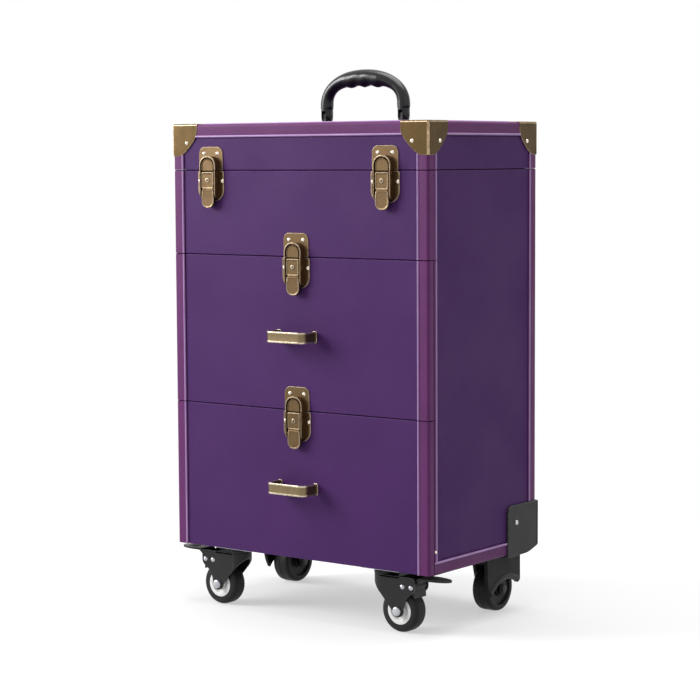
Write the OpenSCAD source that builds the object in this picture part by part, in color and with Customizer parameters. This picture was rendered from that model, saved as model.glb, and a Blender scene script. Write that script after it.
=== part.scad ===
// Rolling makeup case: a leatherette-covered board case with a hinged lid, two latched drawers,
// two braked swivel casters in front, two fixed wheels behind and a telescopic trolley handle.
// Millimetres, +X right, +Y back, +Z up, origin on the floor below the middle of the case.

/* [Case shell] */
// Outer width of the shell across its side panels
case_w = 410; // [340:1:500]
// Outer depth of the shell from the drawer fronts to the back panel
case_d = 244; // [220:1:320]
// Height of the top compartment, from the upper drawer line to the lid line
compartment_h = 110; // [90:1:160]
// Height of the lid above the lid line
lid_h = 59; // [50:1:90]
// Thickness of the shell panels and the lid walls
panel_t = 9; // [7:0.5:12]
// Thickness of the lid's top panel
lid_top_t = 8; // [6:0.5:12]
// Thickness of the compartment floor and of the divider between the drawers
shelf_t = 6; // [4:0.5:9]
// Gap seen at the lid line and at the drawer lines
line_gap = 1.2; // [0.8:0.1:2]

/* [Drawers] */
// Height of the lower drawer front
lower_front_h = 193; // [120:1:260]
// Height of the upper drawer front
upper_front_h = 197; // [120:1:260]
// Thickness of the drawer fronts
front_t = 10; // [8:0.5:14]
// Thickness of the drawer box walls
drawer_wall_t = 8; // [6:0.5:12]
// Thickness of the drawer box floors
drawer_floor_t = 5; // [3:0.5:8]
// Room above the drawer walls
drawer_headroom = 20; // [10:1:40]
// How far each drawer slides out
drawer_travel = 170; // [100:5:175]
// Height of the slide channels
rail_h = 28; // [20:1:40]
// Room between the shell and the drawer box for one slide
rail_space = 12; // [10:0.5:16]

/* [Edge bindings and corner caps] */
// Width of the binding strips on each face
binding_w = 16.5; // [10:0.5:24]
// Thickness of the binding strips
binding_t = 1; // [0.8:0.1:2]
// Length of a brass corner cap along each edge
corner_leg = 38; // [26:1:44]
// Sheet thickness of the corner caps
corner_t = 0.8; // [0.6:0.1:1.5]
// Radius of a rivet head
rivet_r = 2.2; // [1.5:0.1:3]
// Height of a rivet head
rivet_h = 1.2; // [0.8:0.1:2]

/* [Latches] */
// Distance of a lid latch from the side of the case
latch_inset = 64; // [45:1:90]
// Width of the catch plate
catch_w = 40; // [32:1:50]
// Height of the catch plate above the line
catch_h = 30.5; // [26:0.5:40]
// Width of the base plate
base_w = 44; // [36:1:54]
// Depth of the base plate below the line
base_h = 40; // [34:0.5:50]
// Sheet thickness of the latch plates
plate_t = 1.2; // [0.8:0.1:2]
// Outer width of the raised cap and rims
rim_w = 27; // [22:0.5:32]
// Wall of the raised cap and rims
rim_t = 2.5; // [1.5:0.1:4]
// Height of the rims above the panel
rim_proud = 9; // [8:0.1:12]
// Height of the raised cap above the line
cap_h = 18.7; // [15:0.1:22]
// Depth of the rims below the line
rim_drop = 36.5; // [30:0.5:40]
// Depth of the lever's tongue tip below the line
tongue_drop = 49; // [42:0.5:60]
// Width of the tongue
tongue_w = 18; // [12:0.5:20]

/* [Drawer pulls] */
// Length of a pull
pull_l = 62; // [50:1:90]
// How far a pull stands out from the drawer front
pull_out = 28; // [20:1:36]
// Height of the pull's strap
pull_h = 14; // [10:0.5:20]
// Thickness of the pull's strap
pull_t = 2.5; // [2:0.1:4]
// Drop of the pull below the middle of its drawer front
pull_drop = 3; // [0:1:20]

/* [Lid hinges and stays] */
// Distance of a hinge from the side of the case
hinge_inset = 85; // [60:1:110]
// Width of a hinge
hinge_w = 50; // [40:1:80]
// Radius of the hinge knuckles
knuckle_r = 4; // [3:0.1:5]
// Radius of the hinge pins
hinge_pin_r = 2; // [1.5:0.1:2.5]
// Height of a hinge leaf
leaf_h = 25; // [18:1:40]
// How far the lid opens, in degrees
lid_open = 95; // [80:1:95]
// Width of a stay arm
stay_w = 14; // [12:0.5:18]
// Thickness of a stay arm
stay_t = 2.5; // [1.5:0.1:3]
// Radius of the stay pins
stay_pin_r = 3; // [2:0.1:4]

/* [Carry handle] */
// Distance between the middles of the handle's legs
handle_w = 126; // [100:1:150]
// Height of the handle above the lid
handle_h = 73; // [60:1:90]
// Radius of the handle's legs
leg_r = 8.5; // [6:0.5:10]
// Radius of the grip
grip_r = 11; // [9:0.5:13]
// Distance of the handle behind the middle of the lid
handle_back = 26; // [0:1:40]

/* [Front casters] */
// Height of the shell's underside above the floor
caster_h = 80; // [72:1:100]
// Radius of the caster tyres
wheel_r = 28; // [22:0.5:30]
// Width of the caster tyres
wheel_w = 22; // [14:0.5:26]
// Radius of the white wheel hubs
hub_r = 18; // [14:0.5:20]
// Distance of a kingpin from the side of the case
caster_inset_x = 84; // [60:1:100]
// Distance of a kingpin from the front of the case
caster_inset_y = 27; // [26:1:40]
// Trail of the wheel behind its kingpin
trail = 27; // [18:0.5:32]
// Reach of the brake pedal's tip from the kingpin
pedal_reach = 100; // [80:1:100]
// Gap between the brake shoe and the tyre while the brake is off
shoe_gap = 2; // [1.8:0.1:2.5]

/* [Rear wheels] */
// Radius of the rear wheels
rear_r = 30; // [24:0.5:32]
// Width of the rear wheels
rear_w = 26; // [18:0.5:30]
// Distance of a rear wheel's middle from the side of the case
rear_inset_x = 37; // [37:1:60]
// Distance of the rear axle from the back of the case
rear_inset_y = 45; // [34:1:50]
// Height of the corner housing above the shell's underside
housing_h = 64; // [40:1:90]
// Wall of the corner housing outside the shell
housing_t = 3.5; // [2.5:0.1:5]

/* [Trolley handle] */
// Distance between the middles of the trolley tubes
trolley_w = 116; // [90:1:150]
// Width of an outer tube
tube_w = 20; // [16:0.5:26]
// Depth of an outer tube
tube_d = 13; // [11:0.5:16]
// Wall of the tubes
tube_wall = 1.2; // [1:0.1:1.6]
// How far the trolley handle pulls out
trolley_travel = 380; // [250:5:390]
// How far the trolley grip stands out behind the case
trolley_out = 28; // [24:0.5:36]
// Travel of the release button
button_travel = 2; // [1:0.1:2.5]

/* [Hidden] */
$fn = 48;

// Clearances: running fits, sliding gaps, glue lines and the room a moving piece keeps
fit = 0.05;
slide_gap = 0.3;
glue = 0.1;
room = 0.5;
front_gap = 1;
over = 1;

// Colours
leather = "#5a3a72";
trim = "#7d4a80";
brass = "#8a7348";
black = "#262626";
steel = "#b9b9b9";
white = "#ececec";
board = "#3a3040";
wood = "#b08d62";

// Planes of the shell
half_w = case_w / 2;
in_x = half_w - panel_t;
y_front = -case_d / 2;
y_back = case_d / 2;
y_side = y_front + front_t + front_gap;
y_in_back = y_back - panel_t;
z_bot = caster_h;
z_floor = z_bot + panel_t;
z_line2 = z_bot + lower_front_h;
z_line1 = z_line2 + upper_front_h;
z_lid = z_line1 + compartment_h;
z_top = z_lid + lid_h;
half_gap = line_gap / 2;

// Moves the case so that its pulls and its trolley grip lie equally far from the origin
case_shift = (pull_out - trolley_out) / 2;

// Drawers
box_x = in_x - rail_space;
box_back_room = 6;
box_back = y_in_back - box_back_room;
box_lift = 4;
shelf_low = z_line1 + 1;
shelf_top = shelf_low + shelf_t;
divider_z = z_line2 - shelf_t / 2;
upper_box = [divider_z + shelf_t + box_lift, shelf_low - drawer_headroom];
lower_box = [z_floor + box_lift, divider_z - drawer_headroom];
rail_rise = 60;
rail_wall = 1.5;
rail_lip = 8;
rail_setback = 6;
rail_overlap = 40;
rail_front = y_side + rail_setback;
rail_y = [rail_front, rail_front + drawer_travel + rail_overlap];
lower_front_z = [z_bot + half_gap, z_line2 - half_gap];
upper_front_z = [z_line2 + half_gap, z_line1 - half_gap];

// Corner caps, nails and pulls
corner_rivet = [corner_leg * 0.6, corner_leg * 0.62];
wall_cut = 0.38;
top_cut = 0.3;
nail_z = z_bot + 29;
pull_round = 9;

// Latches
latch_x = half_w - latch_inset;
cap_r = rim_w / 2;
rim_in = cap_r - rim_t;
lever_axis_y = -5.6;
lever_axis_z = -4;
lever_barrel_r = 3.2;
latch_pin_r = 1.5;
lever_w = 2 * (rim_in - slide_gap);
lever_face = -(rim_proud - 0.4);
lever_back = -5;
groove_z = -24;
groove_w = 0.8;
catch_corner = 9;
base_corner = 15;
catch_rivet = [catch_w / 2 - 8.7, catch_h - 8.8];
base_lobe = base_w / 2 - cap_r - 2 * rivet_r;
base_rivet = [base_w / 2 - rivet_r - 0.2 * base_lobe, -14];
boss_r = 2.6;
boss_h = 0.5;
boss_z = -13;

// Lid hinges and stays
hinge_y = y_back + knuckle_r + 0.6;
leaf_t = 1.2;
leaf_clear = 5;
knuckles = 5;
knuckle_pitch = hinge_w / knuckles;
hinge_x = half_w - hinge_inset;
stay_tilt = 20;
stay_end = stay_w / 2;
stay_floor_room = 6;
stay_hang = z_lid - shelf_top - stay_floor_room - stay_end;
stay_r = stay_hang / (2 * sin(stay_tilt + lid_open / 2) - sin(stay_tilt));
stay_y = hinge_y - stay_r * cos(stay_tilt);
stay_rise = stay_r * sin(stay_tilt);
stay_short = 2 * stay_r * sin(stay_tilt);
stay_long = 2 * stay_r * sin(stay_tilt + lid_open / 2);
stay_off = 4;
stay_x = [in_x - stay_off - stay_t, in_x - stay_off];
slot_r = stay_pin_r + 0.4;
stay_head_r = stay_pin_r + 2;
stay_head_t = 1.5;

// Carry handle
bracket_t = 2.5;
eye_room = 1;
handle_pivot_h = bracket_t + leg_r + eye_room;
handle_pivot = [0, handle_back, z_top + handle_pivot_h];
grip_z = z_top + handle_h - grip_r - 1;
bend_r = 30;
grip_l = 78;
bump_r = grip_r + 1;
bump_l = 9;
bump_pitch = 20;
eye_w = 2 * leg_r - 1.5;
lug_w = 2 * leg_r / 3;
lug_r = leg_r - 2.5;
handle_pin_r = 2.5;
bracket_d = 28;
neck_h = lug_r + 3;

// Front casters
caster_x = half_w - caster_inset_x;
caster_y = y_front + caster_inset_y;
axle_r = 4;
leg_t = 2.5;
leg_in = wheel_w / 2 + 2;
leg_out = leg_in + leg_t;
mount_t = 2.5;
mount_l = 62;
mount_y = [-16, 24];
mount_screw_inset = 6;
screw_r = 3;
screw_h = 1.5;
race_r = 16;
fork_top = z_bot - mount_t - slide_gap;
race_h = 5;
head_z = fork_top - race_h;
head_t = 2.5;
fork_tail = 27;
kingpin_r = 4;
kingpin_head_r = kingpin_r + 2.5;
kingpin_head_t = 2.5;
leg_foot_r = 8;
lead_z = head_z - 6;
tail_z = wheel_r + 26;
tyre_shoulder = 5;
hub_rim = 5;
hub_boss_r = axle_r + 4;
hub_boss_proud = 1;
bolt_head_r = axle_r + 2;
bolt_head_t = 4;
nut_r = axle_r + 2.5;
pivot_pin_r = 2;
pivot_u = trail + wheel_r - 7;
pivot_z = wheel_r + 32;
pivot_pin_end = 2;
stop_pin_u = pivot_u - 13;
stop_pin_h = 2;
shoe_angle = 45;
shoe_w = 4;
pedal_web = 3;
pedal_slope = 14;
pedal_barrel_r = 5;
pedal_z = pivot_z + 10;
pedal_t = 2.5;
pedal_w = 2 * (leg_in - room);

// Rear wheels
rear_x = half_w - rear_inset_x;
rear_y = y_back - rear_inset_y;
rear_gap = 2;
rear_leg_t = 5;
rear_leg_in = rear_w / 2 + rear_gap;
rear_leg_out = rear_leg_in + rear_leg_t;
rear_front = rear_y - rear_r - 12;
rear_back = rear_y + rear_r + 7;
skirt_z = rear_r + 8;
arch_r = rear_r + 17;
arch = [rear_y + 5, rear_r - 35];
toe_z = rear_r - 16;
housing_front = y_back - 69;
housing_inner = rear_x - rear_leg_out - 4;
housing_round = 10;
housing_screw = [19, 41];
skirt_foot = rear_r + 2;
skirt_rear = rear_r + 6;
skirt_slope = [14, 11, 25];
strut_top = 22;
bed_t = 4;
rear_axle_r = 4;
strut_w = 12;
arm_t = 2.5;
axle_boss_r = 9;
axle_clip_r = rear_axle_r + 1.5;
axle_clip_t = 1.5;
dish_t = 4;

// Trolley handle
tube_x = trolley_w / 2;
tube_y = y_back + 3;
inner_gap = tube_wall + slide_gap;
inner_w = tube_w - 2 * inner_gap;
inner_d = tube_d - 2 * inner_gap;
tube_z = [z_bot + 40, z_lid - 35];
trolley_grip_h = 22;
trolley_grip_z = tube_z[1] + 1;
tube_overlap = 31;
inner_z0 = trolley_grip_z - trolley_travel - tube_overlap;
trolley_grip_l = trolley_w + tube_w + 14;
trolley_grip_y = [y_back + 2, y_back + trolley_out];
trolley_grip_round = 6;
trolley_grip_mid = (trolley_grip_y[0] + trolley_grip_y[1]) / 2;
trolley_grip_top = trolley_grip_z + trolley_grip_h;
button_l = 26;
button_w = 12;
button_proud = 2.5;
button_deep = 7;
bracket_wall = 4;
socket_floor = 8;
socket_h = 25;
collar_h = 40;

// Places children in the part's frame
module placed() {
  translate([0, case_shift, 0]) children();
}

// A block between two corners
module block(a, b) {
  translate([min(a.x, b.x), min(a.y, b.y), min(a.z, b.z)])
    cube([abs(b.x - a.x), abs(b.y - a.y), abs(b.z - a.z)]);
}

// Children on the right and mirrored on the left
module both_sides() {
  children();
  mirror([1, 0, 0]) children();
}

// A rod along X from x0 to x1 through y, z
module rod_x(r, x0, x1, y, z) {
  translate([x0, y, z]) rotate([0, 90, 0]) cylinder(h = x1 - x0, r = r);
}

// A rod along Y from y0 to y1 through x, z
module rod_y(r, y0, y1, x, z) {
  translate([x, y1, z]) rotate([90, 0, 0]) cylinder(h = y1 - y0, r = r);
}

// A flat outline in X and Z, standing out towards the front
module front_plate(t) {
  rotate([90, 0, 0]) linear_extrude(t) children();
}

// A flat outline in Y and Z, standing out towards +X
module side_plate(t) {
  rotate([90, 0, 90]) linear_extrude(t) children();
}

// A domed rivet head standing out along +Z
module rivet_head(r = rivet_r, h = rivet_h) {
  dome = (r * r + h * h) / (2 * h);
  rotate_extrude() intersection() {
    translate([0, h - dome]) circle(dome);
    square([r, h]);
  }
}

// A rivet head standing out towards the front
module front_rivet(x, z, proud) {
  translate([x, y_front - proud, z]) rotate([90, 0, 0]) rivet_head();
}

// Shell panels

module side_panel_right() {
  placed() block([in_x, y_side, z_bot], [half_w, y_back, z_lid - half_gap]);
}

module left_side_panel() {
  color(leather) mirror([1, 0, 0]) side_panel_right();
}

module right_side_panel() {
  color(leather) side_panel_right();
}

module back_panel() {
  color(leather) placed() block([-in_x, y_in_back, z_floor], [in_x, y_back, z_lid - half_gap]);
}

module bottom_panel() {
  color(board) placed() block([-in_x, y_side, z_bot], [in_x, y_back, z_floor]);
}

module compartment_floor() {
  color(board) placed() block([-in_x, y_side, shelf_low], [in_x, y_in_back, shelf_top]);
}

module compartment_front() {
  color(leather) placed()
    block([-half_w, y_front, z_line1 + half_gap], [half_w, y_side, z_lid - half_gap]);
}

module drawer_divider() {
  color(board) placed() block([-in_x, y_side, divider_z], [in_x, y_in_back, divider_z + shelf_t]);
}

// Binding of the shell: one thin skin with windows, so that only the edges stay covered
module case_binding() {
  far = half_w + binding_t;
  bare_x = half_w - binding_w;
  low = z_bot - binding_t;
  color(trim) placed() difference() {
    block([-far, y_front - binding_t, low], [far, y_back + binding_t, z_lid - half_gap]);
    block([-half_w, y_front, z_bot], [half_w, y_back, z_lid + over]);
    block([-far - over, y_front - over - binding_t, low - over], [far + over, y_side, z_line1 + half_gap]);
    block([-bare_x, y_front - over - binding_t, z_line1], [bare_x, y_front + over, z_lid + over]);
    block([-far - over, y_front + binding_w, z_bot + binding_w],
          [far + over, y_back - binding_w, z_lid + over]);
    block([-bare_x, y_back - over, z_bot + binding_w], [bare_x, y_back + over + binding_t, z_lid + over]);
    block([-bare_x, y_side - over, low - over], [bare_x, y_back - binding_w, z_bot + over]);
    both_sides() block([housing_inner - room, housing_front - room, low - over],
                       [far + over, y_back + binding_t + over, z_bot + housing_h + room]);
  }
}

// Lid

module lid_top_panel() {
  color(leather) placed() block([-half_w, y_front, z_top - lid_top_t], [half_w, y_back, z_top]);
}

// Four boards: the front and back walls run through, the side walls fit between them
module lid_walls() {
  low = z_lid + half_gap;
  high = z_top - lid_top_t;
  color(leather) placed() {
    block([-half_w, y_front, low], [half_w, y_front + panel_t, high]);
    block([-half_w, y_back - panel_t, low], [half_w, y_back, high]);
    both_sides() block([in_x, y_front + panel_t + glue, low], [half_w, y_back - panel_t - glue, high]);
  }
}

module lid_binding() {
  far = half_w + binding_t;
  bare_x = half_w - binding_w;
  bare_y = y_back - binding_w;
  low = z_lid + half_gap;
  color(trim) placed() difference() {
    block([-far, y_front - binding_t, low], [far, y_back + binding_t, z_top + binding_t]);
    block([-half_w, y_front, low - over], [half_w, y_back, z_top]);
    block([-bare_x, y_front - over - binding_t, low - over],
          [bare_x, y_back + over + binding_t, z_top - binding_w]);
    block([-far - over, -bare_y, low - over], [far + over, bare_y, z_top - binding_w]);
    block([-bare_x, -bare_y, z_top - over], [bare_x, bare_y, z_top + binding_t + over]);
  }
}

// Outline of one sheet of a corner cap, from its corner along both edges, with the diagonal cut
function corner_outline(cut) = [
  [-corner_t, -corner_t], [corner_leg, -corner_t], [corner_leg, corner_leg * cut],
  [corner_leg * cut, corner_leg], [-corner_t, corner_leg]
];

module lid_corner() {
  wall = corner_outline(wall_cut);
  translate([half_w + binding_t, y_front - binding_t, z_top + binding_t]) {
    front_plate(corner_t) polygon([for (p = wall) -p]);
    side_plate(corner_t) polygon([for (p = wall) [p.x, -p.y]]);
    linear_extrude(corner_t) polygon([for (p = corner_outline(top_cut)) [-p.x, p.y]]);
  }
}

// Children at the four corners of the lid, turned to match
module each_lid_corner() {
  both_sides() {
    children();
    mirror([0, 1, 0]) children();
  }
}

module lid_corners() {
  color(brass) placed() each_lid_corner() lid_corner();
}

module lid_corner_rivets() {
  proud = binding_t + corner_t;
  z = z_top + binding_t - corner_rivet.y;
  front_rivet(half_w + binding_t - corner_rivet.x, z, proud);
  translate([half_w + proud, y_front - binding_t + corner_rivet.x, z]) rotate([0, 90, 0]) rivet_head();
}

// A stay pin standing on a side wall: spacer, shank through the arm and retaining head
module stay_pin(z) {
  rod_x(stay_pin_r, stay_x[0] - slide_gap, in_x, stay_y, z);
  rod_x(stay_head_r, stay_x[1] + slide_gap, in_x, stay_y, z);
  rod_x(stay_head_r, stay_x[0] - slide_gap - stay_head_t, stay_x[0] - slide_gap, stay_y, z);
}

module lid_rivets() {
  color(brass) placed() {
    each_lid_corner() lid_corner_rivets();
    for (x = [-latch_x, latch_x]) catch_rivet_set(x, z_lid);
    both_sides() stay_pin(z_lid + stay_rise);
  }
}

// A slotted arm: pivots on the lid's pin and slides along the shell's pin
module stay_arm() {
  top = z_lid + stay_rise;
  foot = top - stay_long;
  difference() {
    union() {
      block([stay_x[0], stay_y - stay_w / 2, foot], [stay_x[1], stay_y + stay_w / 2, top]);
      rod_x(stay_w / 2, stay_x[0], stay_x[1], stay_y, top);
      rod_x(stay_w / 2, stay_x[0], stay_x[1], stay_y, foot);
    }
    rod_x(stay_pin_r + fit, stay_x[0] - over, stay_x[1] + over, stay_y, top);
    rod_x(slot_r, stay_x[0] - over, stay_x[1] + over, stay_y, top - stay_short);
    rod_x(slot_r, stay_x[0] - over, stay_x[1] + over, stay_y, foot);
    block([stay_x[0] - over, stay_y - slot_r, foot], [stay_x[1] + over, stay_y + slot_r, top - stay_short]);
  }
}

module lid_stays() {
  color(steel) placed() both_sides() stay_arm();
}

// Lid hinges: the shell's leaf has the odd knuckles and the lid's leaf the even ones

module hinge_leaf(up, first) {
  difference() {
    union() {
      block([-hinge_w / 2, y_back, z_lid + up * leaf_clear],
            [hinge_w / 2, y_back + leaf_t, z_lid + up * leaf_h]);
      for (k = [first : 2 : knuckles - 1]) {
        x0 = -hinge_w / 2 + k * knuckle_pitch + slide_gap / 2;
        x1 = x0 + knuckle_pitch - slide_gap;
        rod_x(knuckle_r, x0, x1, hinge_y, z_lid);
        block([x0, y_back, z_lid], [x1, hinge_y, z_lid + up * leaf_clear]);
      }
    }
    rod_x(hinge_pin_r + fit, -hinge_w, hinge_w, hinge_y, z_lid);
  }
}

module hinge_case_leaves() {
  color(brass) placed() for (x = [-hinge_x, hinge_x]) translate([x, 0, 0]) hinge_leaf(-1, 0);
}

module hinge_lid_leaves() {
  color(brass) placed() for (x = [-hinge_x, hinge_x]) translate([x, 0, 0]) hinge_leaf(1, 1);
}

module hinge_pins() {
  color(steel) placed() for (x = [-hinge_x, hinge_x])
    rod_x(hinge_pin_r, x - hinge_w / 2, x + hinge_w / 2, hinge_y, z_lid);
}

// Latches, drawn about the middle of their parting line on the front face

// A plate outline with its two outer corners rounded, growing up or down from the line
module latch_plate(w, h, r, up) {
  x = w / 2 - r;
  far = up * (h - r);
  low = up * half_gap;
  translate([-w / 2, min(low, far)]) square([w, abs(far - low)]);
  translate([-x, min(low, up * h)]) square([2 * x, abs(up * h - low)]);
  for (s = [-x, x]) translate([s, far]) circle(r);
}

// Outline of the cap: round top, straight sides down to the line
module cap_outline(r) {
  intersection() {
    translate([-r, half_gap]) square([2 * r, cap_h]);
    union() {
      translate([0, cap_h - cap_r]) circle(r);
      translate([-r, -over]) square([2 * r, cap_h - cap_r + over]);
    }
  }
}

module latch_catch() {
  front_plate(plate_t) latch_plate(catch_w, catch_h, catch_corner, 1);
  difference() {
    front_plate(rim_proud) cap_outline(cap_r);
    translate([0, lever_face, 0]) front_plate(rim_proud) cap_outline(rim_in);
  }
}

module latch_rims() {
  both_sides() difference() {
    union() {
      block([rim_in, 0, -half_gap], [cap_r, -rim_proud, -rim_drop + rim_proud / 2]);
      rod_x(rim_proud / 2, rim_in, cap_r, -rim_proud / 2, -rim_drop + rim_proud / 2);
    }
    rod_x(latch_pin_r + fit, rim_in - over, cap_r + over, lever_axis_y, lever_axis_z);
  }
}

module latch_base() {
  front_plate(plate_t) latch_plate(base_w, base_h, base_corner, -1);
  latch_rims();
  rod_x(latch_pin_r, -cap_r, cap_r, lever_axis_y, lever_axis_z);
}

// The lever: barrel on the pin, face plate with keyhole boss, groove, and a tongue with a round end
module latch_lever() {
  half = lever_w / 2;
  tongue_r = tongue_w / 2;
  difference() {
    union() {
      rod_x(lever_barrel_r, -half, half, lever_axis_y, lever_axis_z);
      block([-half, lever_face, groove_z], [half, lever_back, lever_axis_z]);
      block([-tongue_r, lever_face + boss_h, groove_z - groove_w], [tongue_r, lever_back, groove_z]);
      translate([0, lever_back, 0]) front_plate(lever_back - lever_face) union() {
        translate([0, -tongue_drop + tongue_r]) circle(tongue_r);
        translate([-tongue_r, -tongue_drop + tongue_r])
          square([tongue_w, tongue_drop - tongue_r + groove_z - groove_w]);
      }
      rod_y(boss_r, lever_face - boss_h, lever_face + over, 0, boss_z);
    }
    rod_x(latch_pin_r + fit, -half - over, half + over, lever_axis_y, lever_axis_z);
  }
}

// Children at a latch's parting line
module at_latch(x, z) {
  placed() translate([x, y_front, z]) children();
}

module lid_catches() {
  color(brass) for (x = [-latch_x, latch_x]) at_latch(x, z_lid) latch_catch();
}

module lid_latch_bases() {
  color(brass) for (x = [-latch_x, latch_x]) at_latch(x, z_lid) latch_base();
}

module upper_drawer_catch() {
  color(brass) at_latch(0, z_line1) latch_catch();
}

module upper_drawer_latch_base() {
  color(brass) at_latch(0, z_line1) latch_base();
}

module lower_drawer_catch() {
  color(brass) at_latch(0, z_line2) latch_catch();
}

module lower_drawer_latch_base() {
  color(brass) at_latch(0, z_line2) latch_base();
}

module left_lid_latch_lever() {
  color(brass) at_latch(-latch_x, z_lid) latch_lever();
}

module right_lid_latch_lever() {
  color(brass) at_latch(latch_x, z_lid) latch_lever();
}

module upper_drawer_latch_lever() {
  color(brass) at_latch(0, z_line1) latch_lever();
}

module lower_drawer_latch_lever() {
  color(brass) at_latch(0, z_line2) latch_lever();
}

// Rivets of a base plate and of a catch plate about a parting line
module base_rivet_set(x, z) {
  for (s = [-1, 1]) front_rivet(x + s * base_rivet.x, z + base_rivet.y, plate_t);
}

module catch_rivet_set(x, z) {
  for (s = [-1, 1]) front_rivet(x + s * catch_rivet.x, z + catch_rivet.y, plate_t);
}

module case_rivets() {
  color(brass) placed() {
    for (x = [-latch_x, latch_x]) base_rivet_set(x, z_lid);
    catch_rivet_set(0, z_line1);
    both_sides() {
      stay_pin(z_lid - stay_rise);
      translate([half_w + binding_t, (y_side + y_front + binding_w) / 2, nail_z])
        rotate([0, 90, 0]) rivet_head();
    }
  }
}

module upper_drawer_rivets() {
  color(brass) placed() {
    base_rivet_set(0, z_line1);
    catch_rivet_set(0, z_line2);
  }
}

module lower_drawer_rivets() {
  color(brass) placed() base_rivet_set(0, z_line2);
}

// Drawers

module drawer_front(span) {
  color(leather) placed() block([-half_w, y_front, span[0]], [half_w, y_front + front_t, span[1]]);
}

// Strips on the upright edges of a drawer front, wrapped round on to the edge itself
module drawer_binding(span) {
  bare_x = half_w - binding_w;
  rear = y_front + front_t;
  color(trim) placed() both_sides() difference() {
    block([bare_x, y_front - binding_t, span[0]], [half_w + binding_t, rear, span[1]]);
    block([bare_x - over, y_front, span[0] - over], [half_w, rear + over, span[1] + over]);
  }
}

// Five boards: side walls run through, the others fit between them
module drawer_box(span) {
  mid_x = box_x - drawer_wall_t - glue;
  front = y_front + front_t;
  color(wood) placed() {
    both_sides() block([box_x - drawer_wall_t, front, span[0]], [box_x, box_back, span[1]]);
    block([-mid_x, front, span[0]], [mid_x, front + drawer_wall_t, span[1]]);
    block([-mid_x, box_back - drawer_wall_t, span[0]], [mid_x, box_back, span[1]]);
    block([-mid_x, front + drawer_wall_t + glue, span[0]],
          [mid_x, box_back - drawer_wall_t - glue, span[0] + drawer_floor_t]);
  }
}

// The drawer's slide members, inside the shell's channels
module drawer_rails(z) {
  high = rail_h / 2 - rail_wall - slide_gap;
  color(steel) placed() both_sides()
    block([box_x, rail_y[0], z - high], [in_x - rail_wall - slide_gap, rail_y[1], z + high]);
}

module rail_channel(z) {
  x0 = in_x - rail_wall - rail_lip;
  difference() {
    block([x0, rail_y[0], z - rail_h / 2], [in_x, rail_y[1], z + rail_h / 2]);
    block([x0 - over, rail_y[0] - over, z - rail_h / 2 + rail_wall],
          [in_x - rail_wall, rail_y[1] + over, z + rail_h / 2 - rail_wall]);
  }
}

module case_drawer_rails() {
  color(steel) placed() both_sides() for (span = [upper_box, lower_box]) rail_channel(span[0] + rail_rise);
}

// Outline of a bow from above, standing out to the front with rounded corners
module bow_outline(w, d, r) {
  translate([-w / 2, -d + r]) square([w, d - r]);
  translate([-w / 2 + r, -d]) square([w - 2 * r, d]);
  for (x = [-w / 2 + r, w / 2 - r]) translate([x, -d + r]) circle(r);
}

module drawer_pull(z) {
  color(brass) placed() translate([0, y_front, z - pull_drop - pull_h / 2]) linear_extrude(pull_h)
    difference() {
      bow_outline(pull_l, pull_out, pull_round);
      translate([0, over]) bow_outline(pull_l - 2 * pull_t, pull_out - pull_t + over, pull_round - pull_t);
    }
}

module upper_drawer_front() {
  drawer_front(upper_front_z);
}

module lower_drawer_front() {
  drawer_front(lower_front_z);
}

module upper_drawer_binding() {
  drawer_binding(upper_front_z);
}

module lower_drawer_binding() {
  drawer_binding(lower_front_z);
}

module upper_drawer_box() {
  drawer_box(upper_box);
}

module lower_drawer_box() {
  drawer_box(lower_box);
}

module upper_drawer_rails() {
  drawer_rails(upper_box[0] + rail_rise);
}

module lower_drawer_rails() {
  drawer_rails(lower_box[0] + rail_rise);
}

module upper_drawer_pull() {
  drawer_pull((z_line1 + z_line2) / 2);
}

module lower_drawer_pull() {
  drawer_pull((z_line2 + z_bot) / 2);
}

// Carry handle

// Bracket on the lid: a bed, a rounded lug between the cheeks of the leg, and the pivot pin
module handle_bracket() {
  half = bracket_d / 2;
  block([-half, -half, z_top], [half, half, z_top + bracket_t]);
  rod_x(lug_r, -lug_w / 2, lug_w / 2, 0, handle_pivot.z);
  block([-lug_w / 2, -lug_r, z_top], [lug_w / 2, lug_r, handle_pivot.z]);
  rod_x(handle_pin_r, -eye_w / 2, eye_w / 2, 0, handle_pivot.z);
}

module handle_brackets() {
  color(black) placed() for (x = [-1, 1]) translate([x * handle_w / 2, handle_back, 0]) handle_bracket();
}

// One leg with its eye and its bend into the grip, before the eye is slotted
module handle_leg() {
  x = handle_w / 2;
  z0 = handle_pivot.z;
  z1 = grip_z - bend_r;
  rod_x(leg_r, x - eye_w / 2, x + eye_w / 2, 0, z0);
  intersection() {
    translate([x, 0, z0]) cylinder(h = neck_h, r = leg_r);
    block([x - eye_w / 2, -leg_r, z0], [x + eye_w / 2, leg_r, z1]);
  }
  translate([x, 0, z0 + neck_h]) cylinder(h = z1 - z0 - neck_h, r = leg_r);
  translate([x - bend_r, 0, z1]) rotate([90, 0, 0]) rotate_extrude(angle = 90)
    translate([bend_r, 0]) circle(leg_r);
}

module carry_handle() {
  inner = handle_w / 2 - bend_r;
  slot = lug_w / 2 + slide_gap;
  color(black) placed() translate([0, handle_back, 0]) difference() {
    union() {
      both_sides() handle_leg();
      rod_x(leg_r, -inner, inner, 0, grip_z);
      rod_x(grip_r, -grip_l / 2, grip_l / 2, 0, grip_z);
      for (x = [-bump_pitch, 0, bump_pitch]) rod_x(bump_r, x - bump_l / 2, x + bump_l / 2, 0, grip_z);
    }
    rod_x(handle_pin_r + fit, -handle_w, handle_w, 0, handle_pivot.z);
    both_sides() translate([handle_w / 2, 0, handle_pivot.z])
      block([-slot, -leg_r - over, -leg_r - over], [slot, leg_r + over, lug_r + room]);
  }
}

// Front casters, drawn about the right kingpin with the wheel trailing outwards

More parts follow.
